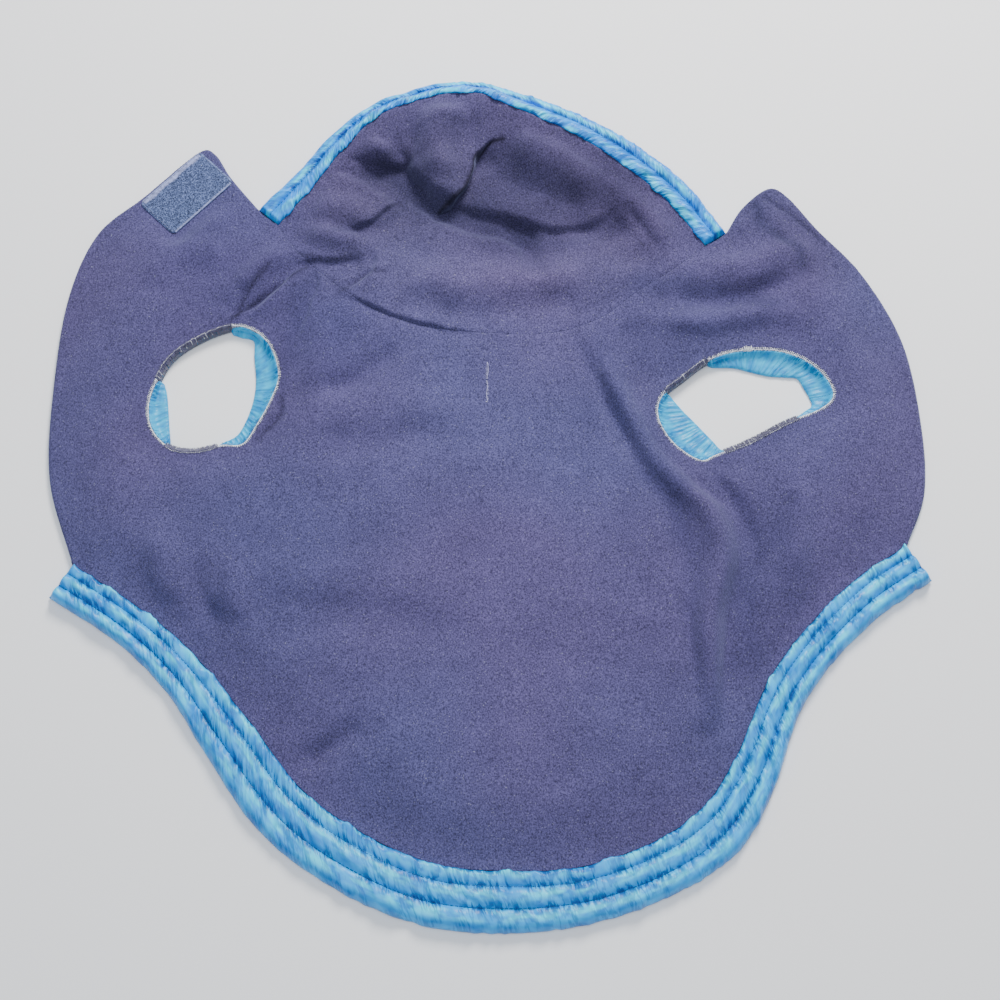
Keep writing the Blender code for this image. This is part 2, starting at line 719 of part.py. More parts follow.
def band_row(plan, ids, places, columns, along, wave):
    """Points across the top of a band, from its inner to its outer edge."""
    start, end = (np.array([*places[k], plan.heights[k] + LINING_LOW]) for k in ids)
    row = []
    for column in columns:
        lean = PUCKER_LEAN * abs(wave) * np.sign(column.pucker)
        spot = start + (end - start) * column.share
        spot[:2] += along * lean * math.sin(math.pi * column.share)
        spot[2] += column.height + column.pucker * wave
        row.append(spot)
    return row


def close_band(name, mesh, grid, low, finish):
    """Top faces over the grid of a band, its two long sides and its two ends."""
    for (_, row), (_, after) in zip(grid, grid[1:]):
        for k in range(len(row) - 1):
            mesh.faces.new((row[k], row[k + 1], after[k + 1], after[k]))
    for (ids, row), (next_ids, after) in zip(grid, grid[1:]):
        for side in (0, -1):
            mesh.faces.new((low[ids[side]], low[next_ids[side]], after[side], row[side]))
    for ids, row in (grid[0], grid[-1]):
        mesh.faces.new([low[ids[0]]] + row + [low[ids[1]]])
    bmesh.ops.recalc_face_normals(mesh, faces=mesh.faces)
    return finished(name, mesh, finish)


def shown_width(side, outward):
    """Width of the cuff that shows in the direction given from the hole's centre."""
    rows = sorted(CUFF_SHOWS[side])
    angles = [row.angle for row in rows] + [rows[0].angle + 360]
    widths = [row.width for row in rows] + [rows[0].width]
    angle = math.degrees(math.atan2(outward[1], outward[0])) % 360
    return np.interp(angle, angles, widths)


def cuff(side, finish):
    """A gathered band that lies under the leg hole's edge and shows inside it."""
    hole = LEG_HOLES[side]
    middle = np.array((hole.x, hole.y))
    mesh = bmesh.new()
    rings = []
    tucked = leg_hole_line(hole, CUFF_TUCK - 1)
    for i, (spot, out) in enumerate(zip(leg_hole_line(hole), tucked)):
        outward = (spot - middle) / np.linalg.norm(spot - middle)
        width = shown_width(side, outward)
        gather = (i % 2) * min(1.0, width / CUFF_FULL_SHOW)
        section = [(out, 0.0)]
        for corner in CUFF_CORNERS:
            section.append((spot - outward * width * corner.share,
                            corner.height + corner.gather * gather))
        section.append((out, CUFF_WALL))
        rings.append([mesh.verts.new((x * MM, y * MM, z * MM)) for (x, y), z in section])
    for ring, after in zip(rings, rings[1:] + rings[:1]):
        for k in range(len(ring)):
            n = (k + 1) % len(ring)
            mesh.faces.new((ring[k], ring[n], after[n], after[k]))
    bmesh.ops.recalc_face_normals(mesh, faces=mesh.faces)
    return finished("leg_cuff_" + side, mesh, finish)


def finished(name, mesh, finish):
    """The mesh as a named object with its finish."""
    data = bpy.data.meshes.new(name)
    mesh.to_mesh(data)
    mesh.free()
    data.materials.append(material(name, finish))
    piece = bpy.data.objects.new(name, data)
    bpy.context.scene.collection.objects.link(piece)
    return piece


def material(name, finish):
    """A plain finish with the piece's colour."""
    made = bpy.data.materials.new(name)
    made.use_nodes = True
    shader = made.node_tree.nodes["Principled BSDF"]
    shader.inputs["Base Color"].default_value = (*finish.colour, 1)
    shader.inputs["Roughness"].default_value = finish.roughness
    shader.inputs["Metallic"].default_value = 0.0
    return made


# ================================================================ the coat
def clear_scene():
    for old in list(bpy.data.objects):
        bpy.data.objects.remove(old, do_unlink=True)


def build_coat():
    lines, shut = cut_lines(), closed_lines()
    plan = Plan(lines, shut)
    areas = outlines(lines)
    openings = [shut["hole_left"], shut["hole_right"], shut["slit"]]
    for side in ("left", "right"):
        shell = plan.take(areas["hood_shell_" + side])
        wall(plan, "hood_shell_" + side, shell, 0, SHELL_WALL, SATIN)
        lining = plan.take(areas["hood_lining_" + side])
        wall(plan, "hood_lining_" + side, lining, LINING_LOW, LINING_TOP, FLEECE)
        cuff(side, SATIN)
    shell = plan.take(areas["body_shell"], openings)
    wall(plan, "body_shell", shell, 0, SHELL_WALL, SATIN)
    lining = plan.take(areas["body_lining"], openings)
    wall(plan, "body_lining", lining, LINING_LOW, LINING_TOP, FLEECE)
    loop = plan.take(shut["loop"])
    under_loop = LINING_TOP + LAYER_GAP
    wall(plan, "loop_patch", loop, under_loop, under_loop + PATCH_WALL, PILE)
    wall(plan, "hook_patch", plan.take(shut["hook"]), 0, PATCH_WALL, PILE, bed_under=False)
    band(plan, "hem_facing", lines["hem_inner"], lines["hem_outer"], HEM_COLUMNS, SATIN)
    band(plan, "hood_rim", lines["rim_inner"], lines["rim_outer"], RIM_COLUMNS, SATIN)


clear_scene()
build_coat()
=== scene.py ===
"""Looks of a hooded dog winter coat, opened out and laid flat with its fleece lining up.

Sizes in the tables are millimetres in plan: X across the coat, +Y from the hem to the hood.
"""

import logging
import math
from dataclasses import dataclass, field
from enum import Enum
from typing import Iterable, Iterator, NamedTuple, Sequence

import bmesh
import bpy
import numpy as np
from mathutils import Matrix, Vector
from mathutils.geometry import delaunay_2d_cdt
from mathutils.kdtree import KDTree


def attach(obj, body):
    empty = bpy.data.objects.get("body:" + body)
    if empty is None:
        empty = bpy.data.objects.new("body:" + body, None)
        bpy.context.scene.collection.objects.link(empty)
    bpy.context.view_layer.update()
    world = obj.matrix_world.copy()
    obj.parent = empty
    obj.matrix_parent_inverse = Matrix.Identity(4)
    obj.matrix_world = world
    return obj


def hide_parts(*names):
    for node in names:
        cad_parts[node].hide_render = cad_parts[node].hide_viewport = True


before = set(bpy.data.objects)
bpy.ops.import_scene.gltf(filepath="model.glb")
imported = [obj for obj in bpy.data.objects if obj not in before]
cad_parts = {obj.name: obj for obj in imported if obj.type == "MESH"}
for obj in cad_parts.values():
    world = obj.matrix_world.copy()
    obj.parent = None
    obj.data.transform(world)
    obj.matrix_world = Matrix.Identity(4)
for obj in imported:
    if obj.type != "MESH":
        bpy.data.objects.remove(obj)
log = logging.getLogger("dog_coat")

MM = 0.001
TINY = 1e-9
LINING_TOP = 4.85  # of the fleece, above the underside of the coat, in millimetres
NEAR_SIDE = -0.3  # y of the way into the cloth, below which an edge is on the hem's side of its hole
STITCH_RISE = (0.05, 0.42, 0.42, 0.05)  # of a stitch's four points over the cloth
ROLL_RINGS = (0.16, 0.5, 1.05)  # rings of points along an edge, as shares of its roll
Points = np.ndarray
Curve = tuple[tuple[float, float], ...]
Triple = tuple[float, float, float]
Node, Socket = bpy.types.Node, bpy.types.NodeSocket
Piece = bpy.types.Object


# ---------------------------------------------------------------- tables of the cut
class Spot(NamedTuple):
    """A point of a cut line."""

    x: float
    y: float


class HemSection(NamedTuple):
    """A point of the hem's outer edge and the border's width there."""

    x: float
    y: float
    width: float


class RimSection(NamedTuple):
    """A point of the hood rim's outer edge, its width and how high its two edges stand."""

    x: float
    y: float
    width: float
    lift: float
    outer_lift: float


class LegHole(NamedTuple):
    """A leg hole: the centre its cuff is measured from, and its edge."""

    x: float
    y: float
    edge: list[Spot]


class Patch(NamedTuple):
    """A touch fastener patch: centre, length, width and the direction of its length."""

    x: float
    y: float
    length: float
    width: float
    turn: float


class Fold(NamedTuple):
    """A broad ridge, or trough if its height is negative, along a curve."""

    line: Curve
    height: float
    start_half: float
    end_half: float


class Lap(NamedTuple):
    """A place where the cloth left of a line laps the cloth right of it.

    rise and drop are the heights on the two sides, up_reach and down_reach how far they go,
    width is how wide the step is, hang how far the upper cloth overhangs, and start and end
    are the shares of it all at the line's ends.
    """

    line: Curve
    rise: float
    drop: float
    up_reach: float
    down_reach: float
    width: float
    hang: float
    start: float
    end: float


class Crease(NamedTuple):
    """A narrow trough in the lining along a curve, with lips."""

    line: Curve
    depth: float
    half: float


class PaintedShading(NamedTuple):
    """Painted shade and light along a curve on the fleece: darker where shade falls, lighter where light
    falls, and cooler or warmer.
    """

    line: Curve
    half: float
    shade: float
    cool: float


HEM = [HemSection(*row) for row in (
    (-299, -86, 27), (-248, -119, 27), (-213, -153, 30), (-185, -194, 36), (-150, -241, 38),
    (-106, -275, 39), (-48, -301, 39), (10, -308, 39), (69, -302, 36), (124, -283, 35),
    (166, -256, 36), (190, -218, 32), (203, -184, 28), (215, -158, 28), (240, -126, 28),
    (273, -96, 29), (307, -74, 29),
)]
RIM = [RimSection(*row) for row in (
    (-169, 210, 21, 2, 1), (-144, 237, 19, 6, 3), (-115, 270, 17, 12, 7), (-84, 294, 15, 18, 10),
    (-40, 307, 15, 24, 13), (-2, 308, 15, 25, 14), (31, 297, 18, 24, 15), (72, 281, 20, 20, 14),
    (111, 259, 22, 15, 11), (148, 229, 22, 8, 6), (177, 191, 20, 2, 1),
)]
LEFT_FRONT = [Spot(*row) for row in (
    (-169, 210), (-191, 237), (-204, 257), (-217, 258), (-254.5, 221.5), (-287, 190), (-304, 140),
    (-309, 73), (-306, 0), (-299, -57),
)]
RIGHT_FRONT = [Spot(*row) for row in (
    (177, 191), (190, 212), (210, 228), (224, 221), (244.5, 194), (275, 157), (300, 104),
    (308.5, 43), (307, -10), (306, -44),
)]
NECK_SEAM = [Spot(*row) for row in (
    (-139, 173), (-111, 147), (-84, 128), (-45, 113), (0, 107), (45, 107), (82, 119),
    (108, 139), (135, 157),
)]
HOOD_CENTRE_SEAM = [Spot(*row) for row in (
    (16, 130), (26, 158), (22, 190), (4, 214), (-8, 245), (-7, 275),
)]
CUFF_EDGES = {
    "left": [Spot(*row) for row in (
        (-168, 105), (-167, 92), (-165, 74), (-166, 60), (-169, 48), (-173, 38), (-177, 32), (-184, 28),
        (-192, 25), (-203, 22), (-212, 21), (-221, 21), (-224, 34), (-226, 50), (-228, 64), (-231, 76),
        (-228, 88), (-218, 101), (-207, 106), (-198, 110), (-190, 111), (-183, 110), (-177, 108),
    )],
    "right": [Spot(*row) for row in (
        (231, 61), (232, 55), (227, 51), (220, 46), (212, 42), (197, 33), (188, 28), (179, 25),
        (171, 22), (166, 22), (161, 28), (154, 36), (147, 44), (139, 53), (131, 65), (138, 72), (147, 79),
        (157, 84), (168, 84.5), (179, 84), (190, 81), (202, 78), (215, 77), (223, 76), (227, 69),
    )],
}
LEG_HOLES = {
    "left": LegHole(-194, 66, [Spot(*row) for row in (
        (-148, 76), (-154, 97), (-166, 110), (-182, 114), (-205, 105), (-224, 91), (-234, 73),
        (-239, 55), (-236, 36), (-223, 22), (-205, 19), (-186, 23), (-171, 24), (-162, 38),
        (-153, 57),
    )]),
    "right": LegHole(183, 55, [Spot(*row) for row in (
        (247, 63), (236, 82), (213, 94), (183, 95), (160, 88), (141, 74), (125, 60), (122, 44),
        (132, 25), (150, 12), (162, 16), (186, 26), (212, 40), (238, 51),
    )]),
}
LOOP_PATCH = Patch(-219.5, 220.0, 57, 28, 46.3)
LOOP_TAPE = Patch(-223.0, 223.4, 61, 37.6, 46.3)
HOOK_PATCH = Patch(216.0, 184.0, 57, 28, -46.0)
SLIT_X, SLIT_LOW, SLIT_HIGH = 1.0, 54.0, 83.0
SLIT_CORDS = ((SLIT_X + 0.3, 71, 84), (SLIT_X - 0.2, 53, 70))  # x, and the ends' y
KNOT, KNOT_REACH = (188.0, 94.5), 3.6

HOOD_FOLDS = [Fold(*row) for row in (
    (((-32, 292), (-35, 262), (-33, 224)), 13, 33, 17),
    (((12, 256), (46, 240), (88, 218)), 12, 24, 24),
    (((-84, 242), (-62, 232), (-44, 214), (-14, 198), (12, 192), (28, 180), (38, 158)), -10, 12, 15),
    (((-130, 214), (-106, 206), (-84, 202)), 5, 22, 16),
    (((-98, 268), (-84, 256), (-68, 250)), 6, 13, 9),
    (((-132, 190), (-112, 182), (-90, 178)), 6, 13, 12),
    (((-78, 150), (0, 146), (92, 152)), 8, 26, 26),
    (((96, 226), (122, 196), (132, 170)), 6, 22, 18),
    (((52, 196), (84, 188), (112, 194)), -3, 15, 14),
)]
LAPS = [Lap(*row) for row in (
    (((-34, 207), (-25, 212), (-17, 222), (-11, 238), (-7, 249), (1, 257), (9, 259)),
     6.0, 4.0, 26, 9, 1.0, 3.4, 0.9, 0.0),
    (((-66, 262), (-57, 241), (-50, 228), (-42, 216), (-34, 207)), 4.5, 6, 24, 18, 6, 0.8, 0.1, 0.9),
    (((-104, 250), (-86, 246), (-68, 243), (-60, 246), (-57, 256)), 2.6, 2.6, 12, 9, 3.0, 1.0, 0.2, 0.4),
    (((-69, 211), (-87, 226), (-105, 233), (-121, 240)), 2.6, 4.0, 18, 16, 5, 0.6, 0.9, 0.2),
    (((-103, 188), (-93, 193), (-82, 198), (-69, 211)), 2.6, 3.0, 18, 10, 2.4, 1.2, 0.1, 0.9),
    (((8, 203), (26, 196), (50, 190), (68, 192), (87, 200), (99, 208)), 2.8, 3.6, 18, 16, 4, 0.6,
     0.3, 0.0),
    (((-142, 168), (-134, 164), (-113, 165), (-82, 166)), 2.2, 2.6, 13, 12, 3.4, 0.6, 0.4, 0.1),
    (((-80, 178), (-82, 158), (-91, 148), (-102, 142)), 1.8, 3, 14, 9, 3, 0.5, 0.2, 0.3),
    (((-112, 146), (-98, 135), (-63, 120), (-33, 111), (-16, 108), (1, 105)), 1.4, 1.8, 12, 9, 1.8,
     0.7, 0.2, 0.3),
    (((19, 122), (10, 111), (1, 105)), 1.0, 1.6, 10, 8, 1.5, 0.6, 0.2, 0.5),
    (((-137, 156), (-153, 137), (-172, 121)), 1.8, 2.2, 11, 9, 1.8, 0.7, 0.3, 0.2),
    (((-126, 160), (-144, 150), (-165, 130), (-184, 122)), 1.8, 2.0, 9, 8, 1.8, 0.7, 0.3, 0.2),
    (((-133, 165), (-122, 150), (-130, 118), (-137, 96)), 2.0, 2.4, 16, 9, 3, 0.4, 0.3, 0.2),
    (((131, 139), (158, 138), (184, 142), (228, 157)), 1.8, 3, 16, 13, 7, 0.3, 0.3, 0.3),
)]
BODY_FOLDS = [Fold(*row) for row in (
    (((60, 112), (78, 72), (92, 36), (112, -2), (130, -28), (137, -70), (139, -116), (146, -180)),
     -4.2, 13, 13),
    (((74, 102), (97, 56), (123, 14), (152, -26), (158, -62), (151, -110), (148, -172)), 7, 15, 13),
    (((103, 104), (113, 62), (122, 38), (142, 6), (168, -16), (180, -50), (170, -104), (158, -172)),
     -8, 14, 15),
    (((187, -46), (186, -84), (172, -124)), -5, 20, 16),
    (((214, -10), (206, -40), (196, -66)), -4, 13, 14),
    (((222, 4), (214, -34), (212, -76)), 5, 17, 20),
    (((131, 137), (179, 138), (229, 152)), -5, 15, 14),
    (((120, 114), (168, 117), (218, 122)), 5, 14, 13),
    (((158, 160), (196, 164), (238, 178)), 4, 15, 15),
    (((-184, 142), (-164, 158), (-144, 174)), 5, 14, 13),
    (((-252, 148), (-222, 166), (-186, 178)), 4, 22, 22),
    (((-112, 120), (-122, 92), (-126, 60)), 4, 17, 16),
    (((-60, 102), (-90, 74), (-128, 62)), -4, 18, 16),
    (((-126, 18), (-70, 25), (-18, 27)), -2.5, 20, 22),
    (((-130, 44), (-80, 50), (-14, 52)), 2.5, 22, 22),
    (((-172, -102), (-100, -104), (-20, -116)), -2.5, 22, 24),
    (((-156, -72), (-90, -74), (-14, -82)), 2.5, 24, 24),
    (((-80, -170), (-100, -190), (-124, -206)), -4, 16, 14),
    (((-200, -58), (-196, -84), (-180, -114)), -3, 14, 13),
    (((-222, -40), (-220, -70), (-210, -96)), 4, 15, 14),
    (((-176, -60), (-172, -84), (-160, -104)), 3, 14, 13),
    (((30, -10), (52, -90), (40, -176)), 3, 48, 46),
    (((-60, -30), (-72, -140), (-40, -206)), 2.5, 42, 40),
)]
TAB_EDGE = ((208, 220), (213, 215), (223, 207), (234, 197), (248, 183))
TAB_FOLD = ((196, 212), (200, 205), (212, 190), (221, 178), (233, 164))
FLAP_TUCK = ((-130, 160), (-150, 144), (-185, 119))
FLAP_CREASE = ((-158, 160), (-173, 139), (-180, 122))
NECK_TUCK = ((-106, 139), (-88, 152), (-73, 155))
HOLE_TUCK = ((-145, 60), (-146, 44), (-161, 27))
CREASES = [Crease(*row) for row in (
    (((8, 196), (20, 188), (36, 170)), 1.4, 2.6),
    (((98, 212), (114, 190), (130, 168)), 1.2, 3.0),
    (((80, 104), (80, 92), (79, 76)), 1.6, 2.6),
    (((66, 100), (80, 68), (94, 34), (114, -4)), 1.2, 3.6),
    (((136, -70), (138, -112), (144, -170), (150, -192)), 1.0, 3.4),
    (((170, -90), (163, -124), (157, -160)), 1.0, 3.4),
    (((-60, 100), (-86, 76), (-122, 62)), 1.0, 4.4),
    (HOLE_TUCK, 1.8, 2.4),
    (FLAP_TUCK, 1.4, 2.2),
    (FLAP_CREASE, 1.2, 2.2),
    (NECK_TUCK, 1.4, 2.4),
    (((-200, -66), (-191, -88), (-177, -110)), 0.7, 3.0),
    (((-84, -176), (-102, -190), (-122, -204)), 1.0, 3.4),
    (TAB_EDGE, 1.3, 1.7),
    (TAB_FOLD, 1.0, 4.0),
)]
# Painted shade and painted light on the fleece, curve by curve: a shade under 1 darkens the colour where
# shade falls in folds, creases and hollows, a shade over 1 lightens it where light falls on ridges; cool
# makes it bluer, and below 0 warmer.
PAINTED_SHADING = [PaintedShading(*row) for row in (
    (((-70, 216), (0, 222), (80, 212)), 64, 0.84, -0.10),
    (((-80, 238), (-60, 230), (-40, 212), (-8, 203), (26, 186)), 19, 0.57, 0.07),
    (((20, 238), (54, 218), (92, 220)), 30, 0.74, 0.07),
    (((25, 188), (61, 180), (92, 193)), 8, 0.90, 0.02),
    (((13, 259), (2, 257), (-8, 248), (-12, 238), (-18, 222), (-27, 213), (-36, 208)), 1.4, 0.22, 0.0),
    (((54, 269), (113, 234), (153, 197)), 26, 0.90, 0.0),
    (((-66, 207), (-82, 197), (-103, 190)), 5, 0.76, 0.03),
    (((-80, 246), (-62, 242), (-57, 252)), 3.5, 0.75, 0.0),
    (((-114, 152), (-98, 137), (-63, 121), (-33, 112), (1, 106)), 3, 0.86, 0.0),
    (((-113, 150), (-40, 140), (53, 142)), 20, 1.16, -0.04),
    (((111, 146), (155, 144), (205, 133)), 10, 0.78, 0.04),
    (((81, 104), (100, 40), (127, -11), (142, -68), (144, -125), (150, -180)), 8, 0.92, 0.02),
    (((124, -8), (161, -54), (178, -88), (179, -123)), 16, 0.80, 0.04),
    (((200, -33), (209, -89)), 16, 0.86, 0.02),
    (((111, 69), (144, 4), (162, -64)), 13, 1.10, -0.03),
    (((-4, 60), (10, -62), (5, -190)), 100, 1.12, -0.01),
    (((-209, 179), (-171, 134), (-111, 107)), 50, 0.92, 0.05),
    (((-190, -117), (-182, -96), (-176, -80)), 9, 0.94, 0.02),
    (((230, 110), (170, 120), (118, 108)), 30, 0.92, 0.02),
    (((188, 206), (212, 214), (246, 182)), 30, 0.80, -0.02),
    (TAB_FOLD, 6, 0.60, 0.05),
    (TAB_EDGE, 2.0, 0.56, 0.02),
    (((-136, 170), (-117, 165), (-92, 169)), 2.6, 0.62, 0.02),
    (FLAP_TUCK, 1.7, 0.46, 0.0),
    (FLAP_CREASE, 1.6, 0.50, 0.0),
    (NECK_TUCK, 1.9, 0.62, 0.0),
    (((-126, 152), (-136, 131), (-140, 97), (-147, 72)), 7, 0.84, 0.02),
    (HOLE_TUCK, 1.8, 0.54, 0.0),
    (((-150, 190), (-120, 160), (-112, 120)), 26, 0.88, 0.03),
)]


class LeanAt(NamedTuple):
    """How far the hem's creases lean, in degrees, at a share of the way along it."""

    share: float
    lean: float


class ShortPucker(NamedTuple):
    """A row of short puckers: its share across the band, their spacing, length and height."""

    across: float
    gap: float
    length: float
    height: float


class LongPucker(NamedTuple):
    """A row of long puckers: its share across the band, and their spacing."""

    across: float
    gap: float


class RimFold(NamedTuple):
    """A row of larger folds in the rim: share across, slant, spacing and height."""

    across: float
    turn: float
    gap: float
    height: float


LEAN_ALONG_HEM = [LeanAt(*row) for row in (
    (0.0, 44.0), (0.3, 36.0), (0.5, 20.0), (0.7, 2.0), (1.0, -14.0),
)]
SHORT_PUCKERS = [ShortPucker(*row) for row in (
    (0.25, 4.6, 7.5, 0.5), (0.61, 4.4, 8.5, 0.6), (0.03, 5.0, 5.0, 0.35),
)]
LONG_PUCKERS = [LongPucker(*row) for row in ((0.13, 24), (0.43, 15), (0.79, 15), (0.95, 21))]
RIM_FOLDS = [RimFold(*row) for row in ((0.3, 55, 26, 0.9), (0.75, -48, 17, 1.1))]


# ---------------------------------------------------------------- lines in the plan
def smooth_line(spots: Sequence[Sequence[float]], steps: int = 12) -> Points:
    """Curve through the spots.

    Args:
        spots: Points, or rows that start with x and y, in order.
        steps: Points of the curve for each span.

    Returns:
        The curve's points, one row each.
    """
    spots = np.array([tuple(s)[:2] for s in spots], float)
    count = len(spots)
    found = []
    for i in range(count - 1):
        start, end = spots[i], spots[i + 1]
        before = spots[i - 1] if i else 2 * start - end
        after = spots[i + 2] if i + 2 < count else 2 * end - start
        for t in np.arange(steps) / steps:
            found.append(
                (2 * t**3 - 3 * t**2 + 1) * start
                + (t**3 - 2 * t**2 + t) * (end - before) / 2
                + (3 * t**2 - 2 * t**3) * end
                + (t**3 - t**2) * (after - start) / 2
            )
    found.append(spots[-1])
    return np.array(found)


def smooth_loop(spots: list[Spot], steps: int = 12) -> Points:
    """Closed curve through the spots, its first point repeated at its end."""
    around = smooth_line(spots[-1:] + spots + spots[:2], steps)
    return around[steps : steps * (len(spots) + 1) + 1]


def closed(loop: Points) -> Points:
    """The loop with its first point repeated at its end."""
    return np.concatenate([loop, loop[:1]])


def run_along(line: Points) -> Points:
    """Distance from the line's start to each of its points."""
    return np.concatenate([[0], np.cumsum(np.linalg.norm(np.diff(line, axis=0), axis=1))])


def read_along(rows: Points, run: Points, at: Points) -> Points:
    """Rows of numbers given at places along a line, read at other places."""
    return np.stack([np.interp(at, run, column) for column in rows.T], axis=1)


def evenly(line: Points, count: int) -> Points:
    """The line as count points at even distances."""
    run = run_along(line)
    return read_along(line, run, np.linspace(0, run[-1], count))


def stepped(line: Points, step: float) -> Points:
    """The line as points about one step apart."""
    return evenly(line, max(2, round(run_along(line)[-1] / step) + 1))


def column_along(line: Points, rows: Sequence[NamedTuple], name: str) -> Points:
    """A column of a section table, read at each point of the line.

    Args:
        line: The line.
        rows: The table.
        name: The column.

    Returns:
        A value for each point.
    """
    run = run_along(line) / run_along(line)[-1]
    spots = np.array([(r.x, r.y) for r in rows], float)
    at = run_along(spots) / run_along(spots)[-1]
    return np.interp(run, at, [getattr(r, name) for r in rows])


def to_the_right(line: Points) -> Points:
    """Unit vectors to the right of an open line, one for each point."""
    tangent = np.gradient(line, axis=0)
    tangent /= np.linalg.norm(tangent, axis=1)[:, None]
    return np.stack([tangent[:, 1], -tangent[:, 0]], axis=1)


def moved_in(line: Points, width: Points) -> Points:
    """The line moved to its right by a width for each point."""
    return line + to_the_right(line) * np.asarray(width)[:, None]


def around_normals(loop: Points) -> Points:
    """Unit vectors to the right of a closed loop, its first point not repeated."""
    ahead = np.roll(loop, -1, axis=0) - np.roll(loop, 1, axis=0)
    ahead /= np.maximum(np.linalg.norm(ahead, axis=1), TINY)[:, None]
    return np.stack([ahead[:, 1], -ahead[:, 0]], axis=1)


def nearest(points: Points, line: Points) -> tuple[Points, Points, Points]:
    """Nearest place on a line for each point.

    Args:
        points: Points in the plan.
        line: Points of the line.

    Returns:
        The distance, the place along the line from 0 to 1, and the vector from the line.
    """
    start, way = line[:-1], np.diff(line, axis=0)
    long = np.maximum((way * way).sum(1), TINY)
    run = run_along(line)
    apart, where, off = np.empty(len(points)), np.empty(len(points)), np.empty((len(points), 2))
    for low in range(0, len(points), 4000):
        some = points[low : low + 4000]
        t = np.clip(((some[:, None] - start) * way).sum(2) / long, 0, 1)
        gap = some[:, None] - start - t[..., None] * way
        size = (gap * gap).sum(2)
        best = size.argmin(axis=1)
        row = np.arange(len(some))
        apart[low : low + 4000] = np.sqrt(size[row, best])
        where[low : low + 4000] = (run[best] + t[row, best] * np.sqrt(long[best])) / run[-1]
        off[low : low + 4000] = gap[row, best]
    return apart, where, off


def inside(points: Points, polygon: Points) -> Points:
    """Whether each point lies in the polygon.

    Args:
        points: Points in the plan.
        polygon: Its corners.

    Returns:
        A truth value for each point.
    """
    found = np.zeros(len(points), bool)
    x, y = points[:, 0], points[:, 1]
    for (x0, y0), (x1, y1) in zip(polygon, np.roll(polygon, -1, axis=0)):
        if y0 != y1:
            crosses = (y0 > y) != (y1 > y)
            found ^= crosses & (x < (x1 - x0) * (y - y0) / (y1 - y0) + x0)
    return found


def in_cloth(points: Points, loops: Sequence[Points]) -> Points:
    """Whether each point lies in the first loop and in none of the others.

    Args:
        points: Points in the plan.
        loops: The cloth's outline and its holes.

    Returns:
        A truth value for each point.
    """
    found = inside(points, loops[0])
    for loop in loops[1:]:
        found &= ~inside(points, loop)
    return found


def outside_of(points: Points, loop: Points) -> Points:
    """Distance of each point from a closed outline, and nothing in it."""
    return np.where(inside(points, loop), 0, nearest(points, closed(loop))[0])


def soft(value: Points) -> Points:
    """Smooth step from 0 to 1."""
    value = np.clip(value, 0, 1)
    return value * value * (3 - 2 * value)


def ripple(points: Points, wavelength: float, seed: int, waves: int = 8) -> Points:
    """Smooth unevenness over the plan.

    Args:
        points: Points in the plan.
        wavelength: Usual distance between two crests.
        seed: Number that fixes the pattern.
        waves: Number of plane waves that are added.

    Returns:
        A value for each point, mostly from -1 to 1.
    """
    random = np.random.default_rng(seed)
    total = np.zeros(len(points))
    for _ in range(waves):
        angle, length = random.uniform(0, math.pi), wavelength * random.uniform(0.7, 1.6)
        way = np.array([math.cos(angle), math.sin(angle)]) * 2 * math.pi / length
        total += np.sin(points @ way + random.uniform(0, 2 * math.pi))
    return total / math.sqrt(waves) * 0.8


def swayed(points: Points, size: float, wavelength: float, seed: int) -> Points:
    """The points moved a little in the plan, so that nothing follows a line too neatly."""
    return points + size * np.stack([ripple(points, wavelength, seed + k) for k in (0, 1)], axis=1)


def turned(along: Points, across: Points, patch: Patch) -> Points:
    """Points given along and across a patch, placed in the plan.

    Args:
        along: Distances along the patch.
        across: Distances across it.
        patch: The patch.

    Returns:
        The points.
    """
    turn = math.radians(patch.turn)
    x = patch.x + along * math.cos(turn) - across * math.sin(turn)
    y = patch.y + along * math.sin(turn) + across * math.cos(turn)
    return np.stack([x, y], axis=-1)


def patch_loop(patch: Patch, outward: float = 0.0, corner: float = 3.0) -> Points:
    """Closed outline of a patch with round corners, or one outside it.

    Args:
        patch: The patch.
        outward: How far outside it the line runs.
        corner: Radius of its corners.

    Returns:
        The line's points.
    """
    half_length, half_width = patch.length / 2 + outward, patch.width / 2 + outward
    along, across = [], []
    for k, (sx, sy) in enumerate(((1, 1), (-1, 1), (-1, -1), (1, -1))):
        for angle in np.linspace(0, math.pi / 2, 7) + k * math.pi / 2:
            along.append(sx * (half_length - corner) + corner * math.cos(angle))
            across.append(sy * (half_width - corner) + corner * math.sin(angle))
    return turned(np.array(along), np.array(across), patch)


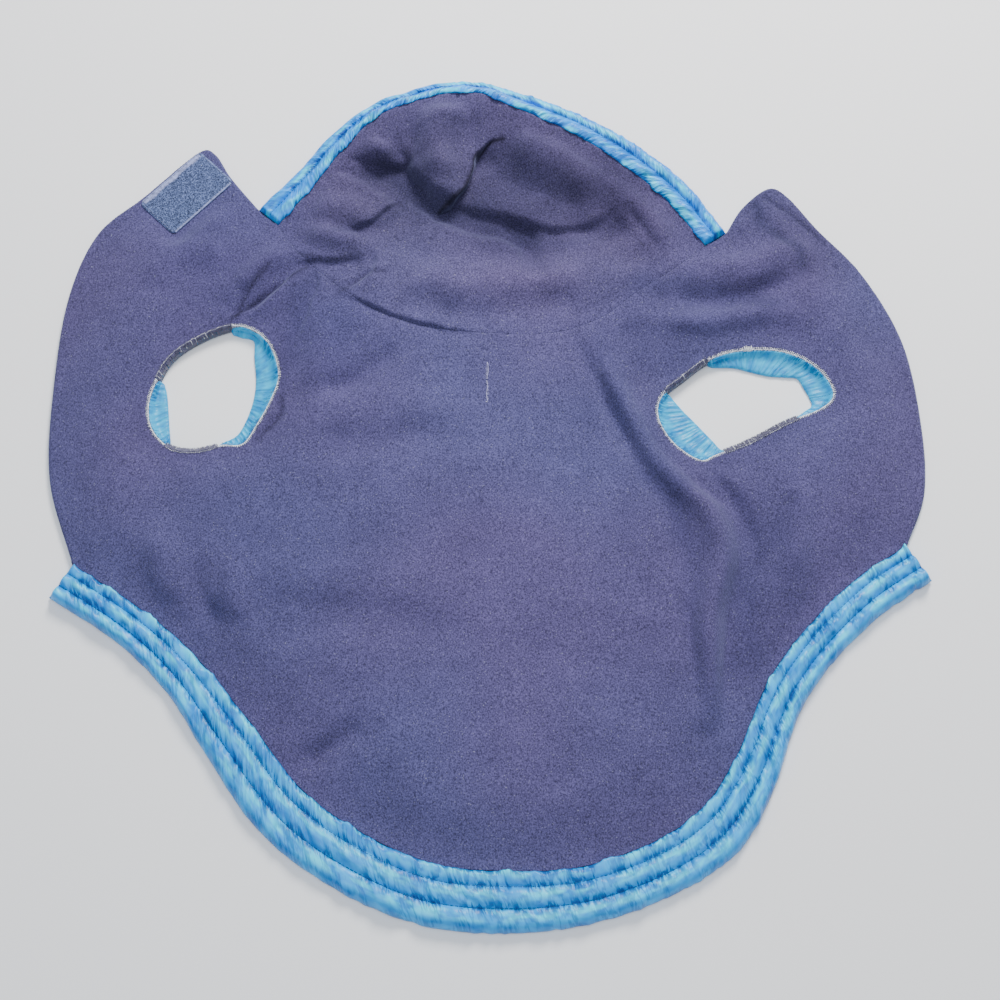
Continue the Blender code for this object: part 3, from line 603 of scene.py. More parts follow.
# ---------------------------------------------------------------- the laid coat
@dataclass
class LaidCoat:
    """Cut lines of the coat in plan, and how high its cloth lies. Sizes in millimetres."""

    step: float = 2.0
    body_swell: float = 8.0
    hood_swell: float = 7.0
    edge_fade: float = 48.0
    fold_fade: float = 21.0
    rim_fade: float = 42.0
    neck_blend: float = 24.0
    cuff_lift: float = 3.6
    cuff_tuck: float = 9.0
    cuff_fade: float = 26.0
    patch_lift: float = 2.1
    patch_margin: float = 4.0
    loop_flat: float = 18.0
    waver: float = 2.0
    hole_fade: float = 34.0
    lines: dict[str, Points] = field(default_factory=dict)
    shut: dict[str, Points] = field(default_factory=dict)
    areas: dict[str, Points] = field(default_factory=dict)

    def __post_init__(self) -> None:
        """Draws the cut lines and the outlines of the pieces."""
        self._draw_lines()
        self._draw_outlines()

    def _draw_lines(self) -> None:
        """Draws the open cut lines and the closed ones."""
        lines, step = self.lines, self.step
        lines["hem_outer"] = stepped(smooth_line(HEM), step)
        width = column_along(lines["hem_outer"], HEM, "width")
        lines["hem_inner"] = moved_in(lines["hem_outer"], -width)
        lines["rim_outer"] = stepped(smooth_line(RIM), step)
        width = column_along(lines["rim_outer"], RIM, "width")
        lines["rim_inner"] = moved_in(lines["rim_outer"], width)
        left = [*LEFT_FRONT[:-1], lines["hem_inner"][0]]
        right = [*RIGHT_FRONT[:-1], lines["hem_inner"][-1]]
        lines["left_front"] = stepped(smooth_line(left), step)
        lines["right_front"] = stepped(smooth_line(right), step)
        rim = lines["rim_inner"]
        lines["neck"] = stepped(smooth_line([rim[0], *NECK_SEAM, rim[-1]]), step)
        start = lines["neck"][np.argmin(np.abs(lines["neck"][:, 0] - HOOD_CENTRE_SEAM[0].x))]
        top = rim[np.argmin(np.abs(rim[:, 0] - HOOD_CENTRE_SEAM[-1].x))]
        lines["centre"] = stepped(smooth_line([start, *HOOD_CENTRE_SEAM, top]), step)
        for side, hole in LEG_HOLES.items():
            loop = stepped(smooth_loop(hole.edge), step)[:-1]
            self.shut["hole_" + side] = loop
            self.shut["tuck_" + side] = loop + around_normals(loop) * self.cuff_tuck
        self.shut["loop"] = patch_loop(LOOP_PATCH)
        self.shut["hook"] = patch_loop(HOOK_PATCH)

    def _draw_outlines(self) -> None:
        """Puts the cut lines together to the pieces' outlines."""
        lines = self.lines
        centre, neck, rim = lines["centre"], lines["neck"], lines["rim_inner"]
        at_neck = int(np.argmin(np.linalg.norm(neck - centre[0], axis=1)))
        at_rim = int(np.argmin(np.linalg.norm(rim - centre[-1], axis=1)))
        outer = lines["rim_outer"]
        left = np.concatenate([neck[:at_neck], centre])
        right = np.concatenate([neck[at_neck + 1 :][::-1], centre])
        fronts = [neck, outer[-1:], lines["right_front"][1:]], [lines["left_front"][::-1][1:]]
        self.areas = {
            "body_lining": np.concatenate(fronts[0] + [lines["hem_inner"][::-1][1:]] + fronts[1]),
            "body_shell": np.concatenate(fronts[0] + [lines["hem_outer"][::-1]] + fronts[1]),
            "hem": np.concatenate([lines["hem_inner"], lines["hem_outer"][::-1]]),
            "rim": np.concatenate([rim, outer[::-1]]),
            "hood": np.concatenate([neck, rim[1:-1][::-1]]),
            "hood_left": np.concatenate([left, rim[1:at_rim][::-1]]),
            "hood_right": np.concatenate([right, rim[at_rim + 1 : -1]]),
            "hood_shell_left": np.concatenate([left, outer[: at_rim + 1][::-1]]),
            "hood_shell_right": np.concatenate([right, outer[at_rim:]]),
        }

    def height(self, points: Points) -> Points:
        """Height of the coat's underside above the surface.

        Args:
            points: Points in the plan.

        Returns:
            One height for each point.
        """
        moved = swayed(points, self.waver, 62, 11)
        lines = self.lines
        from_inner, at_inner, _ = nearest(points, lines["rim_inner"])
        from_outer, at_outer, _ = nearest(points, lines["rim_outer"])
        in_rim = inside(points, self.areas["rim"]) | (from_outer < 1.0)
        in_hood = (inside(points, self.areas["hood"]) | (from_inner < 0.5)) & ~in_rim
        from_neck = nearest(points, lines["neck"])[0]
        blend = soft(0.5 + np.where(in_hood, from_neck, -from_neck) / self.neck_blend)
        from_edges = self._from_edges(points)
        body = self._body_height(points, moved, from_edges)
        hood = self._hood_height(moved, from_inner, at_inner)
        height = body * (1 - blend) + hood * blend
        inner = self._rim_lift(at_outer, "lift")
        outer = self._rim_lift(at_outer, "outer_lift")
        across = from_inner / np.maximum(from_inner + from_outer, 1e-6)
        laps = laps_height(points, LAPS)[0] * soft(np.minimum(from_inner, from_edges) / 12)
        height = np.maximum(height + laps, 0)
        height = np.where(in_rim, inner * (1 - across) + outer * across, height)
        height = self._over_cuffs(points, height)
        return self._over_patches(points, height)

    def _from_edges(self, points: Points) -> Points:
        """Distance from the front edges and the border; nothing on the border."""
        edges = [self.lines[name] for name in ("left_front", "hem_inner", "right_front")]
        apart = np.min([nearest(points, edge)[0] for edge in edges], axis=0)
        near_hem = nearest(points, self.lines["hem_outer"])[0] < 1.0
        return np.where(inside(points, self.areas["hem"]) | near_hem, 0, apart)

    def _from_holes(self, points: Points) -> Points:
        """Distance from the leg holes."""
        rings = [self.shut["hole_" + side] for side in LEG_HOLES]
        return np.min([nearest(points, closed(ring))[0] for ring in rings], axis=0)

    def _rim_lift(self, at: Points, name: str) -> Points:
        """How high the rim's inner or outer edge stands at places along it."""
        shares = np.linspace(0, 1, len(self.lines["rim_outer"]))
        return np.interp(at, shares, column_along(self.lines["rim_outer"], RIM, name))

    def _body_height(self, points: Points, moved: Points, apart: Points) -> Points:
        """Loft and folds of the body, down to the surface at its edges.

        Args:
            points: Points in the plan.
            moved: The same points, swayed.
            apart: Their distance from the edges.

        Returns:
            A height for each point.
        """
        loft = soft(apart / self.edge_fade)
        folds = folds_height(moved, BODY_FOLDS) * soft(apart / self.fold_fade)
        uneven = 0.35 * ripple(points, 34, 21) + 0.6 * ripple(points, 90, 22)
        near_hole = soft(self._from_holes(points) / self.hole_fade)
        swell = self.body_swell * (0.4 + 0.6 * near_hole)
        return np.maximum(swell * loft + folds * (0.35 + 0.65 * near_hole) + uneven * loft, 0)

    def _hood_height(self, moved: Points, apart: Points, where: Points) -> Points:
        """Loft and folds of the hood, up to its standing rim.

        Args:
            moved: Points in the plan, swayed.
            apart: Their distance from the rim.
            where: Their places along the rim.

        Returns:
            A height for each point.
        """
        inner = self._rim_lift(where, "lift")
        away = soft(apart / self.rim_fade)
        folds = folds_height(moved, HOOD_FOLDS) * soft(apart / self.fold_fade)
        uneven = (0.6 * ripple(moved, 24, 31) + 0.8 * ripple(moved, 60, 32)) * away
        return np.maximum(inner * (1 - away) + self.hood_swell * away + folds + uneven, 0)

    def _over_cuffs(self, points: Points, height: Points) -> Points:
        """Raises the coat where it lies over a cuff.

        Args:
            points: Points in the plan.
            height: The height so far.

        Returns:
            The height with the cuffs under it.
        """
        for side in LEG_HOLES:
            apart = outside_of(points, self.shut["tuck_" + side])
            height = np.maximum(height, self.cuff_lift * (1 - soft(apart / self.cuff_fade)))
        return height

    def _over_patches(self, points: Points, height: Points) -> Points:
        """Flattens the coat under the loop patch and raises it over the hook patch.

        Args:
            points: Points in the plan.
            height: The height so far.

        Returns:
            The height with the patches.
        """
        height = height * soft(outside_of(points, self.shut["loop"]) / self.loop_flat)
        apart = outside_of(points, self.shut["hook"])
        raised = self.patch_lift * (1 - soft(apart / self.patch_margin))
        return np.where(apart < self.patch_margin, np.maximum(height, raised), height)


def close_by(points: Points, line: Points, room: float) -> Points:
    """Which points lie in the line's box with some room around it."""
    low, high = line.min(axis=0) - room, line.max(axis=0) + room
    return np.all((points > low) & (points < high), axis=1)


def folds_height(points: Points, folds: Iterable[Fold]) -> Points:
    """Sum of the folds' heights at the points.

    Args:
        points: Points in the plan.
        folds: The folds.

    Returns:
        A height for each point.
    """
    height = np.zeros(len(points))
    for fold in folds:
        line = smooth_line(fold.line, 6)
        on = close_by(points, line, max(fold.start_half, fold.end_half))
        apart, where, _ = nearest(points[on], line)
        half = fold.start_half + (fold.end_half - fold.start_half) * where
        across = (1 + np.cos(math.pi * np.clip(apart / half, 0, 1))) / 2
        grown = soft(where / 0.25) * soft((1 - where) / 0.25)
        height[on] += fold.height * across * (0.35 + 0.65 * grown)
    return height


def laps_height(points: Points, rows: Iterable[Lap]) -> tuple[Points, Points]:
    """Steps where cloth laps over cloth.

    Args:
        points: Points in the plan.
        rows: The laps.

    Returns:
        The change of height, and the overhang's shift in the plan, at each point.
    """
    height, shift = np.zeros(len(points)), np.zeros((len(points), 2))
    wavy = swayed(points, 0.8, 19, 41)
    for row in rows:
        line = smooth_line(row.line, 8)
        on = close_by(wavy, line, 4.5 * max(row.up_reach, row.down_reach))
        _, where, off = nearest(wavy[on], line)
        way = line_ways(line, where)
        side = way[:, 0] * off[:, 1] - way[:, 1] * off[:, 0]
        beyond = np.exp(-(((off * way).sum(axis=1) / 6) ** 2))
        grown = beyond * (row.start + (1 - row.start) * soft(where / 0.3))
        grown = grown * (row.end + (1 - row.end) * soft((1 - where) / 0.3))
        upper = soft(0.5 + side / (2 * row.width))
        above = row.rise * np.exp(-np.maximum(side, 0) / row.up_reach)
        below = row.drop * np.exp(-np.maximum(-side, 0) / row.down_reach)
        height[on] += grown * (upper * above - (1 - upper) * below)
        hang = grown * row.hang * upper * np.exp(-np.maximum(side, 0) / (2 * row.width + 3))
        shift[on] += np.stack([way[:, 1], -way[:, 0]], axis=1) * hang[:, None]
    return height, shift


def line_ways(line: Points, where: Points) -> Points:
    """Unit vectors along a line at places from 0 to 1 on it.

    Args:
        line: The line.
        where: Places on it.

    Returns:
        A vector for each place.
    """
    tangent = np.gradient(line, axis=0)
    tangent /= np.linalg.norm(tangent, axis=1)[:, None]
    share = run_along(line) / run_along(line)[-1]
    way = read_along(tangent, share, where)
    return way / np.maximum(np.linalg.norm(way, axis=1), 1e-6)[:, None]


def painted_shading_colours(points: Points) -> Points:
    """What the painted shade and light do to the fleece's colour at the points.

    Args:
        points: Points in the plan.

    Returns:
        A colour for each point, to multiply by.
    """
    wavy = swayed(points, 3.0, 33, 45)
    colours = np.ones((len(points), 3))
    for row in PAINTED_SHADING:
        place = wavy if row.half > 4 else points
        line = smooth_line(row.line, 6)
        on = close_by(place, line, 2.8 * row.half)
        share = np.exp(-((nearest(place[on], line)[0] / row.half) ** 2))[:, None]
        tint = np.array([1 - row.cool, 1.0, 1 + row.cool])
        colours[on] *= 1 + share * (row.shade * tint - 1)
    return colours


def creases_height(points: Points, rows: Iterable[Crease]) -> Points:
    """Narrow troughs with lips, as a change of height at the points.

    Args:
        points: Points in the plan.
        rows: The creases.

    Returns:
        A height for each point.
    """
    height = np.zeros(len(points))
    wavy = swayed(points, 0.9, 17, 43)
    for row in rows:
        line = smooth_line(row.line, 8)
        on = close_by(wavy, line, 5 * row.half)
        apart, where, _ = nearest(wavy[on], line)
        grown = soft(where / 0.3) * soft((1 - where) / 0.3)
        d = apart / row.half
        height[on] += grown * row.depth * (0.3 * np.exp(-(((d - 2.1) / 1.1) ** 2)) - np.exp(-d * d))
    return height


# ---------------------------------------------------------------- finishes
class Slot(Enum):
    """Material slots of the record."""

    FLEECE = "fleece"
    SATIN = "satin"
    PILE = "loop_pile"
    HOOKS = "hook_tape"
    THREAD = "thread"


def shaded(colour: Triple, factors: Triple) -> Triple:
    """A colour with each of its parts multiplied, up to 1."""
    return tuple(min(1.0, k * c) for k, c in zip(factors, colour))


@dataclass
class Brush:
    """Adds nodes to one material and joins them to its shader."""

    tree: bpy.types.NodeTree
    shader: Node

    def add(self, kind: str, **values: float) -> Node:
        """A node with values set on its sockets by name, with _ for a space."""
        made = self.tree.nodes.new(kind)
        for name, value in values.items():
            made.inputs[name.replace("_", " ")].default_value = value
        return made

    def attribute(self, name: str) -> Socket:
        """The colour or value that a piece's points carry under a name."""
        made = self.add("ShaderNodeAttribute")
        made.attribute_name = name
        return made.outputs["Color"]

    def plain(self, colour: Triple) -> Socket:
        """One colour all over."""
        made = self.add("ShaderNodeRGB")
        made.outputs[0].default_value = (*colour, 1)
        return made.outputs[0]

    def noise(self, scale: float, detail: float = 2.0, stretch: Triple | None = None,
              source: str = "Object") -> Socket:
        """Noise over the object's own coordinates, or over its flat cloth.

        Args:
            scale: Features for each metre.
            detail: Finer layers that are added.
            stretch: Scale along each axis, if the noise is drawn out.
            source: Coordinates that it reads, "Object" or "UV".

        Returns:
            The noise, from 0 to 1.
        """
        place = self.add("ShaderNodeTexCoord").outputs[source]
        if stretch:
            mapping = self.add("ShaderNodeMapping", Scale=stretch)
            self.tree.links.new(place, mapping.inputs["Vector"])
            place = mapping.outputs["Vector"]
        made = self.add("ShaderNodeTexNoise", Scale=scale, Detail=detail, Roughness=0.6)
        self.tree.links.new(place, made.inputs["Vector"])
        return made.outputs["Fac"]

    def ramp(self, source: Socket, low: float, high: float, dark: Triple, light: Triple) -> Socket:
        """A colour ramp between two places.

        Args:
            source: The value that it reads.
            low: Value up to which it is dark.
            high: Value from which it is light.
            dark: Colour at the low end.
            light: Colour at the high end.

        Returns:
            The colour.
        """
        made = self.add("ShaderNodeValToRGB")
        for stop, place, colour in zip(made.color_ramp.elements, (low, high), (dark, light)):
            stop.position, stop.color = place, (*colour, 1)
        self.tree.links.new(source, made.inputs["Fac"])
        return made.outputs["Color"]

    def mix(self, a: Socket, b: Socket, by: Socket | None = None) -> Socket:
        """Two colours multiplied, or the first turned into the second by a share.

        Args:
            a: First colour.
            b: Second colour.
            by: The share, if they aren't multiplied.

        Returns:
            The blended colour.
        """
        made = self.add("ShaderNodeMix")
        made.data_type, made.blend_type = "RGBA", "MIX" if by else "MULTIPLY"
        made.inputs[0].default_value = 1.0
        for socket, place in ((a, 6), (b, 7), (by, 0)):
            if socket:
                self.tree.links.new(socket, made.inputs[place])
        return made.outputs[2]

    def colour(self, source: Socket) -> None:
        """Gives the shader its colour."""
        self.tree.links.new(source, self.shader.inputs["Base Color"])

    def bumps(self, *layers: tuple[Socket, float, float]) -> None:
        """Gives the shader bumps that lie on each other.

        Args:
            layers: Height, strength and depth in metres of each, the lowest first.
        """
        under = None
        for height, strength, depth in layers:
            made = self.add("ShaderNodeBump", Strength=strength, Distance=depth)
            self.tree.links.new(height, made.inputs["Height"])
            if under:
                self.tree.links.new(under, made.inputs["Normal"])
            under = made.outputs["Normal"]
        self.tree.links.new(under, self.shader.inputs["Normal"])


@dataclass(frozen=True)
class Finish:
    """A procedural finish. Subclasses add their own nodes in paint()."""

    name: str
    tone: Triple
    roughness: float = 0.9
    sheen: float = 0.0
    sheen_tint: Triple = (1.0, 1.0, 1.0)
    specular: float = 0.5

    def material(self) -> bpy.types.Material:
        """The finish as a material, made once."""
        made = bpy.data.materials.get(self.name)
        if made:
            return made
        made = bpy.data.materials.new(self.name)
        made.use_nodes = True
        shader = made.node_tree.nodes["Principled BSDF"]
        shader.inputs["Base Color"].default_value = (*self.tone, 1)
        shader.inputs["Roughness"].default_value = self.roughness
        shader.inputs["Specular IOR Level"].default_value = self.specular
        shader.inputs["Sheen Weight"].default_value = self.sheen
        shader.inputs["Sheen Tint"].default_value = (*self.sheen_tint, 1)
        self.paint(Brush(made.node_tree, shader))
        return made

    def paint(self, brush: Brush) -> None:
        """Adds the nodes of this finish."""


@dataclass(frozen=True)
class FleeceFinish(Finish):
    """Napped fleece: mottled, with fine pile grain, pale fibre tips, and the painted shade and light that
    its points carry.
    """

    lint: Triple = (0.24, 0.24, 0.36)
    mottle_scale: float = 5
    brushed_scale: float = 38
    tuft_scale: float = 260
    grain_scale: float = 1050
    tip_scale: float = 950

    def paint(self, brush: Brush) -> None:
        """Adds mottling, grain, fibre tips, the painted shade and light, and bump.

        Args:
            brush: What adds the nodes.
        """
        warm, cool = (shaded(self.tone, k) for k in ((1.06, 0.98, 0.98), (0.95, 1.02, 1.03)))
        base = brush.ramp(brush.noise(self.mottle_scale, 1), 0.38, 0.62, cool, warm)
        patches = brush.noise(self.brushed_scale, 3)
        base = brush.mix(base, brush.ramp(patches, 0.3, 0.7, (0.9,) * 3, (1.1,) * 3))
        grain = brush.noise(self.grain_scale, 3, (1.0, 0.8, 1.0))
        base = brush.mix(base, brush.ramp(grain, 0.34, 0.68, (0.45,) * 3, (1.65,) * 3))
        tips = brush.ramp(brush.noise(self.tip_scale, 1), 0.67, 0.76, (0.0,) * 3, (0.7,) * 3)
        base = brush.mix(base, brush.plain(self.lint), tips)
        # Multiplies in the painted shade and light that the points carry.
        brush.colour(brush.mix(base, brush.attribute("painted_shading")))
        brush.bumps((brush.noise(self.tuft_scale, 2), 0.25, 0.0010), (grain, 0.4, 0.0004))


@dataclass(frozen=True)
class SatinFinish(Finish):
    """Bright satin: patches of deeper and paler tone, on a gathered band a painted highlight on the lit
    side of each puff's crest, sharp small creases that are painted darker as shade, and a faint weave.

    A gathered band has its creases across it, read from its flat cloth.
    """

    crinkle: float = 0.5
    gathered: bool = False
    tick_across: float = 210.0
    tick_along: float = 75.0
    tick_half: float = 0.085
    # Colour of the painted highlight on the lit side of each puff's crest.
    painted_highlight: Triple = (0.030, 0.740, 1.000)
    patch: Triple = (50.0, 110.0, 1.0)
    highlight_patch: Triple = (48, 130, 1)
    weave_scale: float = 1500

    def paint(self, brush: Brush) -> None:
        """Adds random changes of tone, the painted highlight, creases painted darker as shade, and weave.

        Args:
            brush: What adds the nodes.
        """
        red, green, blue = self.tone
        deep, pale = shaded(self.tone, (0.4, 0.72, 0.90)), (red + 0.01, 1.4 * green, 1.25 * blue)
        patch, drawn, wide, source = (70,) * 3, (150,) * 3, (120,) * 3, "Object"
        if self.gathered:
            patch, drawn, source = self.patch, (self.tick_across, self.tick_along, 1), "UV"
            wide = (0.7 * self.tick_across, 0.8 * self.tick_along, 1)
        colour = brush.ramp(brush.noise(1.0, 2, patch, source), 0.36, 0.64, deep, pale)
        lines = self._creases(brush, drawn, source)
        if self.gathered:
            colour = self._painted_highlights(brush, colour)
        # Painted shade: the thin creases darken the colour, as well as bumping it.
        dark = brush.ramp(lines, 0.0, 1.0, (0.1, 0.30, 0.46), (1.0,) * 3)
        brush.colour(brush.mix(colour, dark))
        brush.bumps((brush.noise(1.0, 1.5, wide, source), self.crinkle, 0.0022),
                    (lines, 0.7 * self.crinkle, 0.0008),
                    (brush.noise(self.weave_scale, 2, (1.0, 0.35, 1.0)), 0.1, 0.0002))

    def _painted_highlights(self, brush: Brush, colour: Socket) -> Socket:
        """The colour, with a painted highlight in broken patches on the lit side of each puff's crest."""
        broken = brush.noise(1.0, 2, self.highlight_patch, "UV")
        share = brush.ramp(broken, 0.44, 0.60, (0.05,) * 3, (1.0,) * 3)
        part = brush.mix(brush.attribute("crest"), share)
        return brush.mix(colour, brush.plain(self.painted_highlight), part)

    def _creases(self, brush: Brush, drawn: Triple, source: str) -> Socket:
        """A value that is 1 on smooth cloth and falls to 0 in thin creases, here and there.

        Args:
            brush: What adds the nodes.
            drawn: Scale of the creases along each axis.
            source: Coordinates that they are drawn in.

        Returns:
            The value.
        """
        thin = brush.add("ShaderNodeValToRGB")
        stops = thin.color_ramp.elements
        for stop, way in zip(stops, (-1, 1)):
            stop.position, stop.color = 0.5 + way * self.tick_half, (1, 1, 1, 1)
        for way in (-1, 1):
            stops.new(0.5 + way * 0.45 * self.tick_half).color = (0, 0, 0, 1)
        brush.tree.links.new(brush.noise(1.0, 2.0, drawn, source), thin.inputs["Fac"])
        part = brush.ramp(brush.noise(75, 1), 0.38, 0.52, (0.0,) * 3, (1.0,) * 3)
        if self.gathered:
            part = brush.mix(part, brush.attribute("seam"))
        return brush.mix(brush.plain((1.0, 1.0, 1.0)), thin.outputs["Color"], part)


@dataclass(frozen=True)
class PileFinish(Finish):
    """Fuzzy loops of a touch fastener, or its hooks."""

    scale: float = 900.0

    def paint(self, brush: Brush) -> None:
        """Adds light and dark loops and their bump."""
        loops = brush.noise(self.scale, 3)
        deep, pale = (shaded(self.tone, (k,) * 3) for k in (0.34, 2.2))
        brush.colour(brush.ramp(loops, 0.36, 0.68, deep, pale))
        brush.bumps((loops, 0.8, 0.0008))


@dataclass(frozen=True)
class ThreadFinish(Finish):
    """Sewing thread with a little change of shade."""

    shade_scale: float = 420
    twist_scale: float = 2600

    def paint(self, brush: Brush) -> None:
        """Adds the change of shade and the twist."""
        deep, pale = (shaded(self.tone, (k,) * 3) for k in (0.62, 1.25))
        brush.colour(brush.ramp(brush.noise(self.shade_scale, 2), 0.36, 0.64, deep, pale))
        brush.bumps((brush.noise(self.twist_scale, 1), 0.3, 0.0002))


FLEECE = FleeceFinish("fleece_lining", (0.066, 0.060, 0.150), 0.95, 0.25, (0.55, 0.6, 1.0),
                      specular=0.12)
SATIN = SatinFinish("blue_satin_hem", (0.0, 0.300, 0.740), 0.36, 0.0, specular=0.28,
                    crinkle=0.42, gathered=True)
RIM_SATIN = SatinFinish("blue_satin_rim", (0.0, 0.250, 0.780), 0.36, 0.0, specular=0.28,
                        crinkle=0.5, gathered=True, tick_across=300.0, tick_along=85.0,
                        patch=(90.0, 120.0, 1.0))
CUFF_SATIN = SatinFinish("blue_satin_cuff", (0.0, 0.340, 0.630), 0.36, 0.0, specular=0.28,
                         crinkle=0.5, gathered=True, tick_across=330.0, tick_along=100.0,
                         patch=(110.0, 90.0, 1.0))
SHELL_SATIN = SatinFinish("blue_satin_outside", (0.0, 0.250, 0.580), 0.38, 0.0,
                          specular=0.4, crinkle=0.25, tick_half=0.03)
PILE = PileFinish("brushed_loops", (0.094, 0.128, 0.262), 0.95, 0.15, (0.8, 0.85, 1.0),
                  specular=0.15)
SELVEDGE = ThreadFinish("tape_selvedge", (0.260, 0.300, 0.540), 0.85, 0.2)
HOOKS = PileFinish("rough_hooks", (0.016, 0.020, 0.045), 0.6, 0.0, scale=1100.0)
OVERLOCK = ThreadFinish("overlock_thread", (0.780, 0.800, 1.000), 0.7, 0.3)
FRAYED = ThreadFinish("frayed_thread", (0.092, 0.088, 0.170), 0.9, 0.3)
SATIN_THREAD = ThreadFinish("satin_thread", (0.003, 0.110, 0.330), 0.5)
SLIT_THREAD = ThreadFinish("slit_thread", (0.300, 0.290, 0.520), 0.8, 0.3)
FLOOR = Finish("pale_floor", (0.93, 0.93, 0.93), 0.9, specular=0.1)


# ---------------------------------------------------------------- making of meshes
def piece_from(name: str, verts: Points, faces: Sequence[Sequence[int]], finish: Finish,
               flat: Points | None = None,
               shades: dict[str, Points] | None = None) -> Piece:
    """A named piece from points in millimetres.

    Args:
        name: The piece's name.
        verts: Points, in millimetres.
        faces: Corners of each face.
        finish: Its finish.
        flat: Where each point lies on the flat cloth, in millimetres, for its own texture.
        shades: Named values or colours of the points, that its finish reads.

    Returns:
        The piece, linked to the scene.
    """
    data = bpy.data.meshes.new(name)
    data.from_pydata((np.asarray(verts) * MM).tolist(), [], [list(map(int, f)) for f in faces])
    if flat is not None:
        layer = data.uv_layers.new(name="flat_cloth")
        corners = np.array([loop.vertex_index for loop in data.loops])
        layer.data.foreach_set("uv", (np.asarray(flat)[corners] * MM).ravel())
    for key, values in (shades or {}).items():
        if values.ndim == 1:
            data.attributes.new(key, "FLOAT", "POINT").data.foreach_set("value", values)
        else:
            full = np.column_stack([values, np.ones(len(values))])
            data.attributes.new(key, "FLOAT_COLOR", "POINT").data.foreach_set("color", full.ravel())
    data.validate()
    data.materials.append(finish.material())
    data.polygons.foreach_set("use_smooth", [True] * len(data.polygons))
    piece = bpy.data.objects.new(name, data)
    bpy.context.scene.collection.objects.link(piece)
    return piece


def outward(piece: Piece) -> None:
    """Turns the faces of a closed piece outwards.

    Args:
        piece: The piece.
    """
    mesh = bmesh.new()
    mesh.from_mesh(piece.data)
    bmesh.ops.recalc_face_normals(mesh, faces=mesh.faces)
    mesh.to_mesh(piece.data)
    mesh.free()


def solidify(piece: Piece, wall: float) -> None:
    """Gives a sheet its thickness, inwards from its good side.

    Args:
        piece: The sheet.
        wall: Thickness in millimetres.
    """
    modifier = piece.modifiers.new("wall", "SOLIDIFY")
    modifier.thickness = wall * MM
    modifier.offset = -1.0
    modifier.use_even_offset = False
    bpy.ops.object.select_all(action="DESELECT")
    bpy.context.view_layer.objects.active = piece
    piece.select_set(True)
    bpy.ops.object.modifier_apply(modifier=modifier.name)
    piece.select_set(False)


def grid_faces(rows: int, columns: int, shut: bool = False, start: int = 0) -> list[list[int]]:
    """Quads over a grid of points.

    Args:
        rows: Number of rows.
        columns: Points in each row.
        shut: Whether the last row joins the first.
        start: Number of the grid's first point.

    Returns:
        Corners of each quad.
    """
    count = rows if shut else rows - 1
    return [
        [start + i * columns + k, start + i * columns + k + 1,
         start + ((i + 1) % rows) * columns + k + 1, start + ((i + 1) % rows) * columns + k]
        for i in range(count) for k in range(columns - 1)
    ]


def ride(piece: Piece, slot: Slot, nodes: Iterable[str] = ()) -> None:
    """Puts a piece on the coat, hides the parts that it stands for, and logs its faces.

    Args:
        piece: The piece.
        slot: Its material slot; not used.
        nodes: Nodes that it replaces.
    """
    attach(piece, "root")
    for node in nodes:
        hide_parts(node)
    log.info("%s: %d faces", piece.name, len(piece.data.polygons))


@dataclass
class Strands:
    """Many short tubes joined in one mesh."""

    sides: int = 4
    verts: list[Points] = field(default_factory=list)
    faces: list[list[int]] = field(default_factory=list)
    count: int = 0

    def add(self, path: Points, radius: float) -> None:
        """Adds a tube.

        Args:
            path: Its middle line, in millimetres.
            radius: Its radius.
        """
        way = np.gradient(path, axis=0)
        way /= np.maximum(np.linalg.norm(way, axis=1), TINY)[:, None]
        guide = np.array([0.0, 0.0, 1.0]) if abs(way[:, 2]).mean() < 0.8 else np.array([1.0, 0, 0])
        side = np.cross(way, guide)
        side /= np.maximum(np.linalg.norm(side, axis=1), TINY)[:, None]
        up = np.cross(side, way)
        angles = np.arange(self.sides) * 2 * math.pi / self.sides
        ring = (np.cos(angles)[None, :, None] * side[:, None]
                + np.sin(angles)[None, :, None] * up[:, None]) * radius
        self.verts.append((path[:, None] + ring).reshape(-1, 3))
        n = self.sides
        for i in range(len(path) - 1):
            for k in range(n):
                a, b = self.count + i * n + k, self.count + i * n + (k + 1) % n
                self.faces.append([a, b, b + n, a + n])
        last = self.count + (len(path) - 1) * n
        self.faces.append([self.count + k for k in range(n)][::-1])
        self.faces.append([last + k for k in range(n)])
        self.count += len(path) * n

    def sew(self, line: Points, starts: Points, length: float, bend: float,
            radius: float) -> None:
        """Adds stitches along a line.

        Args:
            line: The line, in space.
            starts: Where along it each stitch starts.
            length: Length of a stitch.
            bend: Share of it in which it rises, and falls again.
            radius: Radius of its thread.
        """
        run = run_along(line)
        for start in starts:
            path = read_along(line, run, start + np.array([0.0, bend, 1 - bend, 1.0]) * length)
            path[:, 2] += STITCH_RISE
            self.add(path, radius)

    def piece(self, name: str, finish: Finish, slot: Slot = Slot.THREAD) -> Piece:
        """The strands as one piece, riding on the coat.

        Args:
            name: The piece's name.
            finish: Its finish.
            slot: Its material slot.

        Returns:
            The finished piece.
        """
        made = piece_from(name, np.concatenate(self.verts), self.faces, finish)
        outward(made)
        ride(made, slot)
        return made


# ---------------------------------------------------------------- flat sheets
class Face(Enum):
    """Which way a sheet's good side looks: up out of the coat, or down."""

    UP = 1
    DOWN = -1


